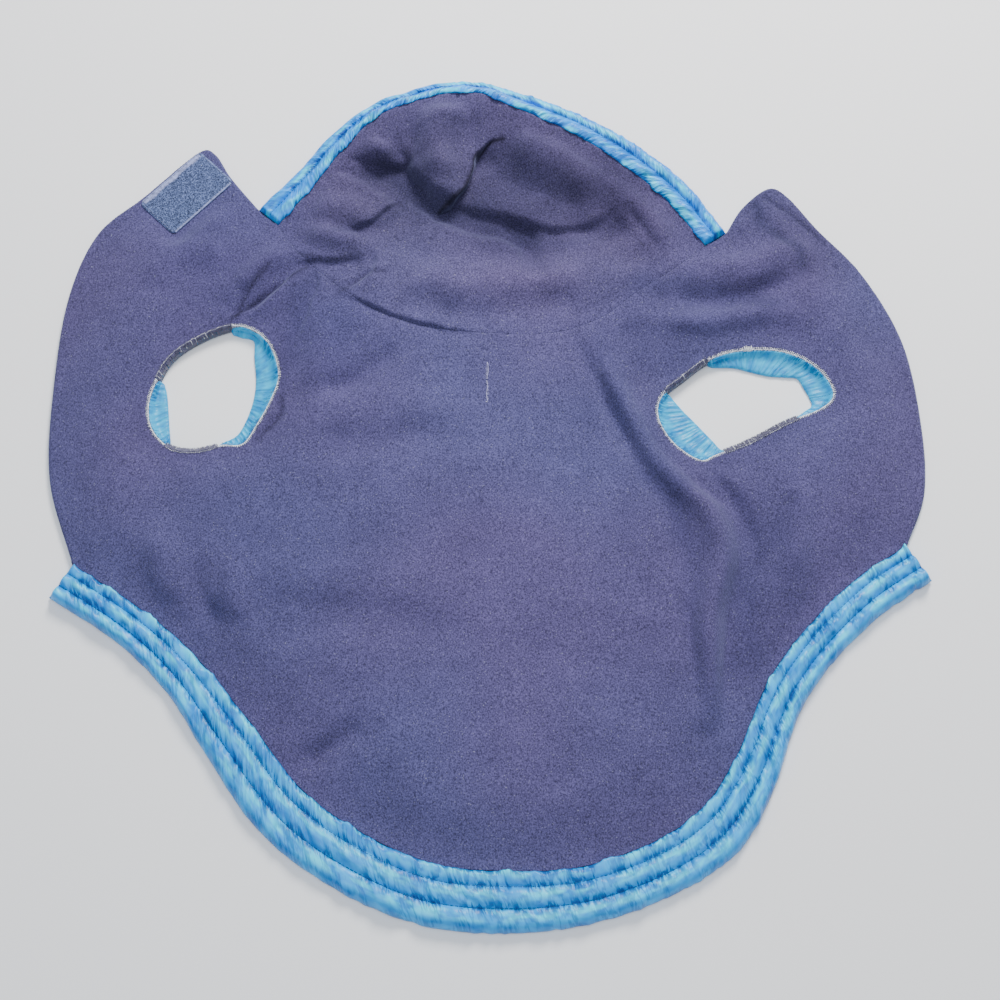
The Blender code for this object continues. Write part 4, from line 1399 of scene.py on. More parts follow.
@dataclass
class ClothSheet:
    """A sheet of cloth cut to an outline, lying on the coat's own form."""

    coat: LaidCoat
    name: str
    outline: Points
    nodes: tuple[str, ...]
    finish: Finish
    slot: Slot
    face: Face = Face.UP
    holes: tuple[Points, ...] = ()
    lapped: bool = False
    grooves: tuple[Points, ...] = ()
    room: float = 0.0
    pitch: float = 2.6
    level: float = LINING_TOP
    wall: float = 0.9
    inset: float = 0.04
    edge_roll: float = 2.0
    seam_roll: float = 0.5
    seams: tuple[Points, ...] = ()

    def build(self) -> Piece:
        """Cuts the sheet, lays it, and gives it its thickness.

        Returns:
            The finished piece, riding on the coat.
        """
        points, triangles = self._cut()
        verts = self._laid(points)
        a, b, c = (points[triangles[:, k]] for k in range(3))
        turn = (b[:, 0] - a[:, 0]) * (c[:, 1] - a[:, 1]) - (b[:, 1] - a[:, 1]) * (c[:, 0] - a[:, 0])
        flip = turn * self.face.value < 0
        triangles[flip] = triangles[flip][:, ::-1]
        # The fleece carries its painted shade and light on its points.
        shades = {"painted_shading": painted_shading_colours(points)} if self.lapped else None
        piece = piece_from(self.name, verts, triangles, self.finish, shades=shades)
        solidify(piece, self.wall)
        ride(piece, self.slot, self.nodes)
        return piece

    def _loops(self, offset: float) -> list[Points]:
        """The outline and the holes, moved into the cloth by a distance.

        Args:
            offset: The distance.

        Returns:
            The outline first, then each hole.
        """
        loops = []
        for loop, hole in [(self.outline, False)] + [(h, True) for h in self.holes]:
            after = np.roll(loop, -1, axis=0)
            leftward = np.sum(loop[:, 0] * after[:, 1] - loop[:, 1] * after[:, 0]) > 0
            way = -1 if leftward != hole else 1
            loops.append(loop + around_normals(loop) * way * offset)
        return loops

    def _cut(self) -> tuple[Points, Points]:
        """Points and triangles of the sheet in the plan."""
        edge = [stepped(closed(loop), self.pitch * 0.9)[:-1] for loop in self._loops(self.inset)]
        spots = np.concatenate(edge)
        edges, count = [], 0
        for loop in edge:
            edges += [(count + i, count + (i + 1) % len(loop)) for i in range(len(loop))]
            count += len(loop)
        rolls = [np.concatenate([stepped(closed(loop), self.pitch)[:-1]
                                 for loop in self._loops(self.inset + share * self.edge_roll)])
                 for share in ROLL_RINGS]
        low, high = self.outline.min(axis=0), self.outline.max(axis=0)
        rise = self.pitch * math.sqrt(3) / 2
        rows, columns = int((high[1] - low[1]) / rise) + 1, int((high[0] - low[0]) / self.pitch) + 2
        r, c = np.meshgrid(np.arange(rows), np.arange(columns), indexing="ij")
        field_spots = np.stack([low[0] + (c + 0.5 * (r % 2)) * self.pitch,
                                low[1] + r * rise], axis=-1).reshape(-1, 2)
        guides = [self._guide(row) for row in LAPS] if self.lapped else []
        kept = self._spaced(edge, rolls, guides, field_spots)
        every = np.concatenate([spots, kept])
        found = delaunay_2d_cdt([Vector(p) for p in every], edges, [], 0, 1e-5)
        points = np.array([(v.x, v.y) for v in found[0]])
        triangles = np.array([f for f in found[2] if len(f) == 3])
        return points, triangles[in_cloth(points[triangles].mean(axis=1), edge)]

    def _guide(self, lap: Lap) -> Points:
        """Close points along a lap's step and at both its sides."""
        line = stepped(smooth_line(lap.line, 8), self.pitch * 0.6)
        offsets = [0.0] + [s * max(lap.width, 1.4) * k for k in (0.45, 0.95, 1.6) for s in (1, -1)]
        return np.concatenate([line + to_the_right(line) * o for o in offsets])

    def _spaced(self, edge: list[Points], rolls: list[Points], guides: list[Points],
                spread: Points) -> Points:
        """Inner points that keep their room from the edges and from each other.

        Args:
            edge: Outline and holes.
            rolls: Rings along them.
            guides: Points along the laps.
            spread: Even points over it all.

        Returns:
            The points that are kept.
        """
        loops = [closed(loop) for loop in edge]
        kept: list[Points] = []
        groups = [(ring, share * self.edge_roll * 0.8, 0.0)
                  for ring, share in zip(rolls, ROLL_RINGS)]
        groups += [(g, self.edge_roll * 1.3, 0.36 * self.pitch) for g in guides]
        groups += [(spread, self.edge_roll * 1.1 + 0.45 * self.pitch, 0.62 * self.pitch)]
        for spots, from_edge, room in groups:
            spots = spots[in_cloth(spots, edge)]
            apart = np.min([nearest(spots, loop)[0] for loop in loops], axis=0)
            spots = spots[apart > from_edge]
            if room and kept and len(spots):
                tree = KDTree(sum(map(len, kept)))
                for i, spot in enumerate(np.concatenate(kept)):
                    tree.insert((spot[0], spot[1], 0), i)
                tree.balance()
                free = [tree.find((x, y, 0))[2] > room for x, y in spots]
                spots = spots[np.array(free, bool)]
            kept.append(spots)
        return np.concatenate(kept)

    def _laid(self, points: Points) -> Points:
        """The sheet's points in space.

        Args:
            points: Points in the plan.

        Returns:
            The points, with their heights.
        """
        height = self._bed(points) + self.level + 0.12 * ripple(points, 9, 51)
        drop, far = np.zeros(len(points)), np.full(len(points), 1e3)
        shallow = np.full(len(points), self.edge_roll)
        for seam in self.seams:
            near = nearest(points, seam)[0] < self.edge_roll * 1.6
            shallow = np.where(near, self.seam_roll, shallow)
        for loop in self._loops(self.inset):
            apart = nearest(points, closed(loop))[0]
            inner = np.clip(shallow - apart, 0, shallow)
            drop = np.maximum(drop, shallow - np.sqrt(np.maximum(shallow**2 - inner**2, 0)))
            far = np.minimum(far, apart)
        height -= drop * self.face.value
        for groove in self.grooves:
            height -= 0.35 * np.exp(-((nearest(points, groove)[0] / 1.5) ** 2))
        spots = points.copy()
        if self.lapped:
            away = soft((far - 1) / 5)
            height += creases_height(points, CREASES) * away
            spots += laps_height(points, LAPS)[1] * away[:, None]
        return np.column_stack([spots, np.maximum(height, 0.02)])

    def _bed(self, points: Points) -> Points:
        """Height that the sheet lies at, or the lowest one within its room.

        Args:
            points: Points in the plan.

        Returns:
            A height for each point.
        """
        if not self.room:
            return self.coat.height(points)
        angles = (np.arange(6) + 0.5) * math.pi / 3
        around = [np.zeros(2)] + [self.room * np.array([math.cos(a), math.sin(a)]) for a in angles]
        return np.min([self.coat.height(points + o) for o in around], axis=0)


# ---------------------------------------------------------------- puffed bands
class Channel(NamedTuple):
    """A puffed channel: its shares across the band, its ends' heights and its crest."""

    start: float
    end: float
    low_start: float
    low_end: float
    crest: float


HEM_CHANNELS = tuple(Channel(*row) for row in (
    (0.0, 0.25, 0.6, 3.2, 5.4), (0.25, 0.61, 3.2, 3.2, 6.6), (0.61, 1.0, 3.2, -2.3, 6.4),
))
RIM_CHANNELS = tuple(Channel(*row) for row in (
    (0.0, 0.5, 0.6, 2.6, 5.2), (0.5, 1.0, 2.6, -2.3, 5.6),
))


@dataclass(frozen=True)
class Pucker:
    """A small ridge across a band: place, size and how its line leans."""

    run: float
    across: float
    length: float
    half: float
    height: float
    turn: float


@dataclass
class PuffedBand:
    """A gathered satin band between two lines, puffed between its stitching lines."""

    coat: LaidCoat
    name: str
    node: str
    inner: Points
    outer: Points
    channels: tuple[Channel, ...]
    row_step: float = 1.1
    columns: int = 46
    level: float = 2.85
    wall: float = 0.5
    seed: int = 7
    stitch_length: float = 2.3
    stitch_gap: float = 0.8
    stitch_bend: float = 0.2
    spill: float = 1.6
    puff_power: float = 2.2
    puff_round: float = 0.62
    hollow: float = 0.45
    hollow_off: float = 1.9
    end_room: float = 4.0
    thread: float = 0.26
    finish: Finish = SATIN
    verts: Points = field(default_factory=lambda: np.zeros(0))
    shares: Points = field(default_factory=lambda: np.zeros(0))

    def puckers(self, run: float) -> list[Pucker]:
        """The band's puckers; each kind of band has its own."""
        return []

    def shear(self, run: Points, across: Points, width: Points) -> Points:
        """How far the creases have run along the band at each distance across it."""
        return np.zeros(across.shape)

    def painted_highlight_share(self, u: Points) -> Points:
        """How near each share across the band is to the lit side of a channel's crest, where the satin
        paints its highlight.
        """
        middles = [c.start + 0.34 * (c.end - c.start) for c in self.channels]
        halves = [0.24 * (c.end - c.start) for c in self.channels]
        return np.sum([np.exp(-(((u - m) / h) ** 2)) for m, h in zip(middles, halves)], axis=0)

    def near_seams(self, across: Points, width: Points) -> Points:
        """How much each point is creased by the stitching near it.

        Args:
            across: Distance across the band of each point.
            width: Width of the band at each row.

        Returns:
            A share for each point.
        """
        near = np.full(across.shape, 0.45)
        for share in self.stitch_shares() + [0.02]:
            near = np.maximum(near, np.exp(-(((across - share * width[:, None]) / 4.5) ** 2)))
        return near

    def stitch_shares(self) -> list[float]:
        """Shares across the band where it is stitched."""
        return [c.end for c in self.channels[:-1]]

    def build(self) -> Piece:
        """Makes the band.

        Returns:
            The finished piece.
        """
        count = int(run_along(self.outer)[-1] / self.row_step) + 1
        inner, outer = evenly(self.inner, count), evenly(self.outer, count)
        self.shares = self._spaced_shares()
        u = self.shares
        spots = inner[:, None] + (outer - inner)[:, None] * u[None, :, None]
        width = np.linalg.norm(outer - inner, axis=1)
        bed = self.coat.height(np.concatenate([inner, outer])).reshape(2, -1)
        under = bed[0][:, None] * (1 - u) + bed[1][:, None] * u
        run = run_along((inner + outer) / 2)
        height = self._profile(run, u)
        across = u[None, :] * width[:, None]
        ridges = self._ridges(run, across, width)
        fade = np.clip(np.minimum(u / 0.03, (1 - u) / 0.05), 0, 1)[None, :]
        ends = soft(np.minimum(run, run[-1] - run) / 6)[:, None]
        height = height + ridges * fade * (0.3 + 0.7 * ends)
        bulge = 0.6 * ridges * np.clip((u - 0.9) / 0.1, 0, 1)[None, :]
        along = np.stack([run, np.zeros(len(run))], axis=1)
        ragged = self.spill * (1 + 0.9 * ripple(along, 21, self.seed + 20) + 0.4 * ripple(along, 5, 8))
        inward = np.exp(-(((u - 0.08) / 0.07) ** 2))
        bulge = bulge - np.maximum(ragged, -0.2)[:, None] * inward[None, :]
        away = (outer - inner) / width[:, None]
        spots = spots + away[:, None] * bulge[..., None]
        shut = soft(np.minimum(run, run[-1] - run) / 2.6)[:, None]
        height = height * shut + (self.level - 1.2) * (1 - shut)
        z = np.maximum(under + height, 0.1)
        self.verts = np.concatenate([spots, z[..., None]], axis=-1)
        drawn = np.stack([run[:, None] - self.shear(run, across, width), across], axis=-1)
        # The crest share places the satin's painted highlight, the seam share its creases, painted darker
        # as shade and bumped.
        piece = piece_from(self.name, self.verts.reshape(-1, 3), grid_faces(count, len(u)),
                           self.finish, flat=drawn.reshape(-1, 2),
                           shades={"seam": self.near_seams(across, width).ravel(),
                                   "crest": np.tile(self.painted_highlight_share(u), count)})
        face_up(piece)
        solidify(piece, self.wall)
        ride(piece, Slot.SATIN, (self.node,))
        return piece

    def _spaced_shares(self) -> Points:
        """Shares across the band, closer at its edges and stitching lines."""
        even = np.linspace(0, 1, 400)
        weight = 1 + 1.6 * np.exp(-(((1 - even) / 0.05) ** 2)) + 1.2 * np.exp(-((even / 0.04) ** 2))
        for share in self.stitch_shares():
            weight += 1.0 * np.exp(-(((even - share) / 0.04) ** 2))
        total = np.concatenate([[0], np.cumsum((weight[1:] + weight[:-1]) / 2)])
        return np.interp(np.linspace(0, total[-1], self.columns), total, even)

    def _profile(self, run: Points, u: Points) -> Points:
        """Height of the puffed channels over the level of the lining's underside.

        Args:
            run: Distance along the band of each row.
            u: Share across it of each column.

        Returns:
            A height for each point.
        """
        along = np.stack([run, np.zeros(len(run))], axis=1)
        height = np.zeros((len(run), len(u)))
        for k, channel in enumerate(self.channels):
            t = (u - channel.start) / (channel.end - channel.start)
            on = (t >= 0) & (t <= 1)
            puff = np.clip(1 - np.abs(2 * t - 1) ** self.puff_power, 0, 1) ** self.puff_round
            low = np.where(t < 0.5, channel.low_start, channel.low_end)
            crest = channel.crest * (1 + 0.14 * ripple(along, 26, self.seed + k)[:, None])
            height = np.where(on[None, :], low + (crest - low) * puff, height)
        return height + self.level

    def _ridges(self, run: Points, across: Points, width: Points) -> Points:
        """Sum of all puckers over the band.

        Args:
            run: Distance along the band of each row.
            across: Distance across it of each point.
            width: Its width at each row.

        Returns:
            A height for each point.
        """
        total = np.zeros(across.shape)
        for p in self.puckers(run[-1]):
            low, high = np.searchsorted(run, (p.run - p.length, p.run + p.length))
            if high <= low:
                continue
            at = np.interp(p.run, run, width) * p.across
            ds, dv = run[low:high, None] - p.run, across[low:high] - at
            turn = math.radians(p.turn)
            along = dv * math.cos(turn) + ds * math.sin(turn)
            aside = ds * math.cos(turn) - dv * math.sin(turn)
            ridge = np.exp(-((aside / p.half) ** 2))
            behind = (aside - self.hollow_off * p.half) / p.half
            shape = ridge - self.hollow * np.exp(-(behind**2))
            total[low:high] += p.height * shape * np.exp(-((2 * along / p.length) ** 4))
        return total

    def stitches(self) -> Piece:
        """The band's stitching, as short threads along its seams."""
        strands = Strands(4)
        every = self.stitch_length + self.stitch_gap
        for share in self.stitch_shares():
            line = self.verts[:, int(np.argmin(np.abs(self.shares - share)))]
            starts = np.arange(self.end_room, run_along(line)[-1] - self.end_room, every)
            strands.sew(line, starts, self.stitch_length, self.stitch_bend, self.thread)
        return strands.piece(self.name + "_stitching", SATIN_THREAD)


def face_up(piece: Piece) -> None:
    """Turns an open sheet so that its faces look up."""
    total = sum(p.normal.z * p.area for p in piece.data.polygons)
    if total < 0:
        piece.data.flip_normals()


def strewn(random: np.random.Generator, first: float, end: float, gap: float,
           spread: tuple[float, float]) -> Iterator[float]:
    """Places about a gap apart, each step drawn only after its place has been used.

    Args:
        random: What the steps are drawn from.
        first: The first place.
        end: Where they end.
        gap: Usual distance between two.
        spread: Smallest and largest step, as shares of the gap.

    Yields:
        Each place.
    """
    place = first
    while place < end:
        yield place
        place += gap * random.uniform(*spread)


@dataclass
class HemBorder(PuffedBand):
    """The border round the hem: three channels, with slanting puckers at each seam."""

    swap_at: float = 0.6

    def _lean(self, share: Points) -> Points:
        """Lean of the creases, in degrees, at a share of the way along the hem."""
        return np.interp(share, *zip(*LEAN_ALONG_HEM))

    def shear(self, run: Points, across: Points, width: Points) -> Points:
        """The creases lean as the puckers do."""
        return across * np.tan(np.radians(self._lean(run / run[-1])))[:, None]

    def puckers(self, run: float) -> list[Pucker]:
        """Short puckers at the seams, and longer ones that slant across the channels.

        Args:
            run: Length of the hem.

        Returns:
            The puckers.
        """
        random = np.random.default_rng(self.seed)
        found = []
        for across, gap, length, height in SHORT_PUCKERS:
            for s in strewn(random, random.uniform(0, gap), run, gap, (0.45, 1.6)):
                turn = self._lean(s / run) + random.normal(0, 13)
                found.append(Pucker(
                    s, across + random.normal(0, 0.035), length * random.uniform(0.6, 1.3),
                    random.uniform(0.9, 1.5), height * random.uniform(0.3, 1.2)
                    * random.choice((1, -1, -1)), turn))
        for across, gap in LONG_PUCKERS:
            for s in strewn(random, random.uniform(0, gap), run, gap, (0.5, 1.6)):
                side = 1 if s < self.swap_at * run else -1
                turn = self._lean(s / run) + random.uniform(-6, 42) * side
                found.append(Pucker(
                    s, across + random.normal(0, 0.05), random.uniform(11, 21),
                    random.uniform(1.7, 3.2), random.uniform(0.4, 1.1) * random.choice((1, -1)),
                    turn))
        return found


@dataclass
class HoodRim(PuffedBand):
    """The hood's elastic rim: gathers slant to a middle seam from both sides."""

    inner_slant: float = 50.0
    outer_slant: float = -42.0
    smooth_slant: float = -76.0
    smooth_end: float = 0.42
    finish: Finish = RIM_SATIN

    def shear(self, run: Points, across: Points, width: Points) -> Points:
        """The creases slant to the middle seam from both sides."""
        past = across - width[:, None] / 2
        inner, outer = (math.tan(math.radians(a)) for a in (self.inner_slant, self.outer_slant))
        return np.where(past < 0, past * inner, past * outer)

    def puckers(self, run: float) -> list[Pucker]:
        """Gathers in a herringbone, with a few larger folds; smooth long folds at the left.

        Args:
            run: Length of the rim.

        Returns:
            The puckers.
        """
        random = np.random.default_rng(self.seed)
        found = []
        for across, turn, gap, length, start in (
                (0.25, self.inner_slant, 2.9, 11.0, 0.06),
                (0.76, self.outer_slant, 4.3, 13.0, self.smooth_end)):
            first = start * run + random.uniform(0, gap)
            for s in strewn(random, first, run, gap, (0.5, 1.5)):
                found.append(Pucker(
                    s, across + random.normal(0, 0.03), length * random.uniform(0.65, 1.15),
                    random.uniform(0.65, 1.15), random.uniform(0.3, 0.85),
                    turn + random.normal(0, 8)))
        for across, turn, gap, height in RIM_FOLDS:
            for s in strewn(random, random.uniform(0, gap), run, gap, (0.5, 1.6)):
                long = s < self.smooth_end * run
                found.append(Pucker(
                    s, across, random.uniform(13, 24) if long else random.uniform(10, 17),
                    random.uniform(2.2, 3.4), random.uniform(0.6, 1.3) * height
                    * random.choice((1, -1)),
                    (self.smooth_slant if long else turn) + random.normal(0, 10)))
        return found


# ---------------------------------------------------------------- leg openings
class CuffRow(NamedTuple):
    """A ring of the cuff: its share of what shows, its height and how much it swings."""

    share: float
    level: float
    swing: float


CUFF_ROWS = [CuffRow(*row) for row in (
    (0.26, 4.2, 0.8), (0.38, 3.3, 1.0), (0.5, 3.0, 1.0), (0.62, 2.9, 1.0), (0.74, 2.8, 1.0),
    (0.85, 2.6, 0.9), (0.93, 2.2, 0.7), (0.98, 1.5, 0.4), (1.0, 0.8, 0.2),
)]


@dataclass
class LegCuff:
    """A gathered satin band sewn under a leg hole's edge."""

    coat: LaidCoat
    side: str
    step: float = 0.9
    seed: int = 3
    tucked_in: float = 3.5
    fold_level: float = 3.1
    turn_over: float = 2.3
    underside: float = 0.05
    band_back: float = 8.0

    def inner_edge(self, edge: Points) -> tuple[Points, Points]:
        """The cuff's inner edge, opposite each point of the hole's edge.

        Args:
            edge: Points of the hole's edge.

        Returns:
            The points of the inner edge, and how much of the cuff shows at each.
        """
        hole = LEG_HOLES[self.side]
        centre = np.array([hole.x, hole.y])
        inner = smooth_loop(CUFF_EDGES[self.side])[:-1] - centre
        turn = np.arctan2(inner[:, 1], inner[:, 0])
        order = np.argsort(turn)
        reach = np.linalg.norm(inner, axis=1)[order]
        way = edge - centre
        far = np.linalg.norm(way, axis=1)
        shown = far - np.interp(
            np.arctan2(way[:, 1], way[:, 0]), turn[order], reach, period=2 * math.pi)
        full = soft((shown - 1.8) / 2.4)
        shown = shown * full - self.tucked_in * (1 - full)
        return centre + way * ((far - shown) / far)[:, None], shown

    def build(self) -> Piece:
        """Makes the cuff as a closed ring.

        Returns:
            The finished piece.
        """
        loop = self.coat.shut["hole_" + self.side]
        edge = stepped(closed(loop), self.step)[:-1]
        inner, shown = self.inner_edge(edge)
        out = around_normals(edge)
        run = run_along(closed(edge))[:-1]
        bed = self.coat.height(edge)
        wave, fine = self._gathers(run, np.random.default_rng(self.seed))
        full = np.clip(shown / 6.0, 0, 1)
        way = (inner - edge) / np.maximum(np.abs(shown), 0.1)[:, None] * np.sign(shown)[:, None]
        long = np.maximum(shown, 0.0)
        rows, flat = [], []
        for place, level in ((-self.band_back, 2.2), (-3.0, 2.7), (-0.9, self.fold_level)):
            rows.append(np.column_stack([edge - out * place, np.full(len(edge), level)]))
            flat.append(np.full(len(edge), place))
        for place, lift, share in ((0.3, 0.0, 0.15), (0.42, 3.9, 0.3), (1.1, 3.6, 0.8),
                                   (self.turn_over, 2.2, 1.0)):
            spot = edge + way * (place * full)[:, None]
            raised = bed + lift - self.fold_level + fine * share
            level = self.fold_level + raised * full * (lift > 0)
            rows.append(np.column_stack([spot, np.maximum(level, 0.3)]))
            flat.append(place * full)
        for share, level, swing in CUFF_ROWS:
            place = np.maximum(self.turn_over * full + 0.4 * full * share, share * long)
            rows.append(np.column_stack([edge + way * place[:, None],
                                         np.maximum(level + wave * swing * full, 0.2)]))
            flat.append(place)
        for spot in (edge + way * (long * 0.96)[:, None], edge + out * self.band_back):
            rows.append(np.column_stack([spot, np.full(len(edge), self.underside)]))
        flat += [long + 2, np.full(len(edge), -6.0)]
        grid, columns = np.stack(rows, axis=1), len(rows)
        drawn = np.stack([np.repeat(run[:, None], columns, axis=1), np.stack(flat, axis=1)], axis=-1)
        faces = grid_faces(len(edge), columns, shut=True)
        faces += [[i * columns + columns - 1, i * columns, ((i + 1) % len(edge)) * columns,
                   ((i + 1) % len(edge)) * columns + columns - 1] for i in range(len(edge))]
        # Where the cuff's creases show; the satin paints them darker as shade and bumps them.
        near = 0.2 + 0.8 * np.exp(-((np.stack(flat, axis=1) / 4) ** 2))
        piece = piece_from("cuff_" + self.side, grid.reshape(-1, 3), faces, CUFF_SATIN,
                           flat=drawn.reshape(-1, 2), shades={"seam": near.ravel()})
        outward(piece)
        ride(piece, Slot.SATIN, ("leg_cuff_" + self.side,))
        return piece

    def _gathers(self, run: Points, random: np.random.Generator) -> tuple[Points, Points]:
        """Height of the gathers round the ring, and of the finer ones at its seam.

        Args:
            run: Distance round the ring of each point.
            random: What they are drawn from.

        Returns:
            The two heights at each point.
        """
        total, fine = np.zeros(len(run)), np.zeros(len(run))
        long = run[-1] + self.step
        for target, gap, half, size in ((total, 3.6, 1.0, 0.8), (fine, 1.9, 0.6, 0.7)):
            s = 0.0
            while s < long - gap:
                apart = np.abs((run - s + long / 2) % long - long / 2)
                target += size * random.uniform(0.3, 1.2) * np.exp(-((apart / half) ** 2))
                s += gap * random.uniform(0.6, 1.5)
        return total - 0.3, fine - 0.2


@dataclass
class Overlock:
    """Overlock stitches round a leg hole's edge, frayed and dark where no cuff shows."""

    coat: LaidCoat
    cuff: LegCuff
    pitch: float = 1.25
    reach: float = 1.7
    thread: float = 0.28
    level: float = LINING_TOP
    roll: float = 2.0
    seed: int = 5
    bright_from: float = 2.0
    knot_turns: int = 9
    frayed_near: int = 12
    frayed_far: int = 6
    stray_bright: float = 0.35
    stray_frayed: float = 0.18

    def build(self) -> list[Piece]:
        """Makes the bright stitches and the frayed ones.

        Returns:
            The finished pieces.
        """
        loop = self.coat.shut["hole_" + self.cuff.side]
        count = int(run_along(closed(loop))[-1] / self.pitch)
        edge = evenly(closed(loop), count + 1)[:-1]
        out = around_normals(edge)
        bright = self.cuff.inner_edge(edge)[1] > self.bright_from
        random = np.random.default_rng(self.seed)
        bed = self.coat.height(edge)
        neat, frayed = Strands(4), Strands(3)
        for i in range(count):
            if bright[i]:
                self._stitch(neat, edge[i], out[i], bed[i], random, 1.0)
            else:
                for _ in range(self.frayed_near if out[i, 1] < NEAR_SIDE else self.frayed_far):
                    self._stitch(frayed, edge[i], out[i], bed[i], random, 0.5)
            if random.uniform() < (self.stray_bright if bright[i] else self.stray_frayed):
                self._stitch(frayed if bright[i] else neat, edge[i], out[i], bed[i], random,
                             0.4 if bright[i] else 0.65)
            if np.hypot(*(edge[i] - KNOT)) < KNOT_REACH:
                for _ in range(self.knot_turns):
                    height = bed[i] + random.uniform(0, 1.2)
                    self._stitch(neat, edge[i], out[i], height, random, 0.7)
        self._chain(neat, edge, out, bed, bright, random)
        return [neat.piece("overlock_" + self.cuff.side, OVERLOCK),
                frayed.piece("frayed_edge_" + self.cuff.side, FRAYED)]

    def _top(self, offsets: Points, bed: float) -> Points:
        """Height of the fleece at distances from the hole's edge."""
        inner = np.clip(self.roll - np.maximum(offsets, 0.1), 0, self.roll)
        return bed + self.level - self.roll + np.sqrt(np.maximum(self.roll**2 - inner**2, 0))

    def _stitch(self, strands: Strands, spot: Points, out: Points, bed: float,
                random: np.random.Generator, neat: float) -> None:
        """Adds a stitch over the edge, or a loose end if it isn't neat.

        Args:
            strands: Where it goes.
            spot: Place on the edge.
            out: Way into the cloth there.
            bed: Height of the coat there.
            random: What it is drawn from.
            neat: 1 for a neat stitch, less for a loose end.
        """
        along = np.array([-out[1], out[0]])
        reach = self.reach * random.uniform(0.8, 1.15)
        reach *= 1 if neat == 1 else random.uniform(0.8, 1.7)
        offsets = np.array([reach, 0.65 * reach, 0.3 * reach, 0.0, -0.35, -0.35])
        slant = random.uniform(0.2, 0.9) if neat == 1 else random.uniform(-1.2, 1.2)
        lift = np.array([0.02, 0.22, 0.25, 0.2, 0.0, -1.2])
        if neat < 1:
            lift = lift + random.uniform(0, 0.5) * np.array([0, 0.5, 1, 1, 0.6, 0])
        tops = self._top(offsets, bed) + lift
        if neat < 1:
            near = 1.0 if out[1] < NEAR_SIDE else 0.0
            hang = random.uniform(0.2, 1.9) * near
            offsets = offsets - np.array([0, 0, 0, 0, 0.1 + 0.5 * hang, 0.5 + hang])
            falls = near or neat > 0.6
            fallen = tops[-2] - random.uniform(0.6, 1.6) if falls else random.uniform(0.3, 1.2)
            tops[-2:] = tops[-2] - 0.3 * near - 0.3, fallen
        spots = spot + out * offsets[:, None] + along * (slant * np.linspace(0, 1, 6))[:, None]
        radius = self.thread * random.uniform(0.8, 1.1) * (0.6 + 0.4 * neat)
        strands.add(np.column_stack([spots, tops]), radius)

    def _chain(self, strands: Strands, edge: Points, out: Points, bed: Points, bright: Points,
               random: np.random.Generator) -> None:
        """Adds the looping thread along the edge, further out where the edge is frayed.

        Args:
            strands: Where it goes.
            edge: Points of the edge.
            out: Way into the cloth at each.
            bed: Height of the coat at each.
            bright: Where a cuff shows.
            random: What its sway is drawn from.
        """
        sway = 0.2 * np.array([1, -1] * (len(edge) // 2 + 1))[: len(edge)]
        frayed = np.convolve(np.r_[~bright[-2:], ~bright, ~bright[:2]], np.ones(5) / 5, "valid")
        offsets = 0.25 + 1.5 * frayed + sway + random.normal(0, 0.08 + 0.12 * frayed, len(edge))
        spots = edge + out * offsets[:, None]
        path = np.column_stack([spots, self._top(offsets, bed) + 0.3 - 0.25 * frayed])
        changes = [0, *(np.flatnonzero(np.diff(bright.astype(int))) + 1), len(edge)]
        for start, end in zip(changes, changes[1:]):
            width = 1.5 if bright[start] else 0.8
            if end - start > 2:
                strands.add(path[start:end], self.thread * width)


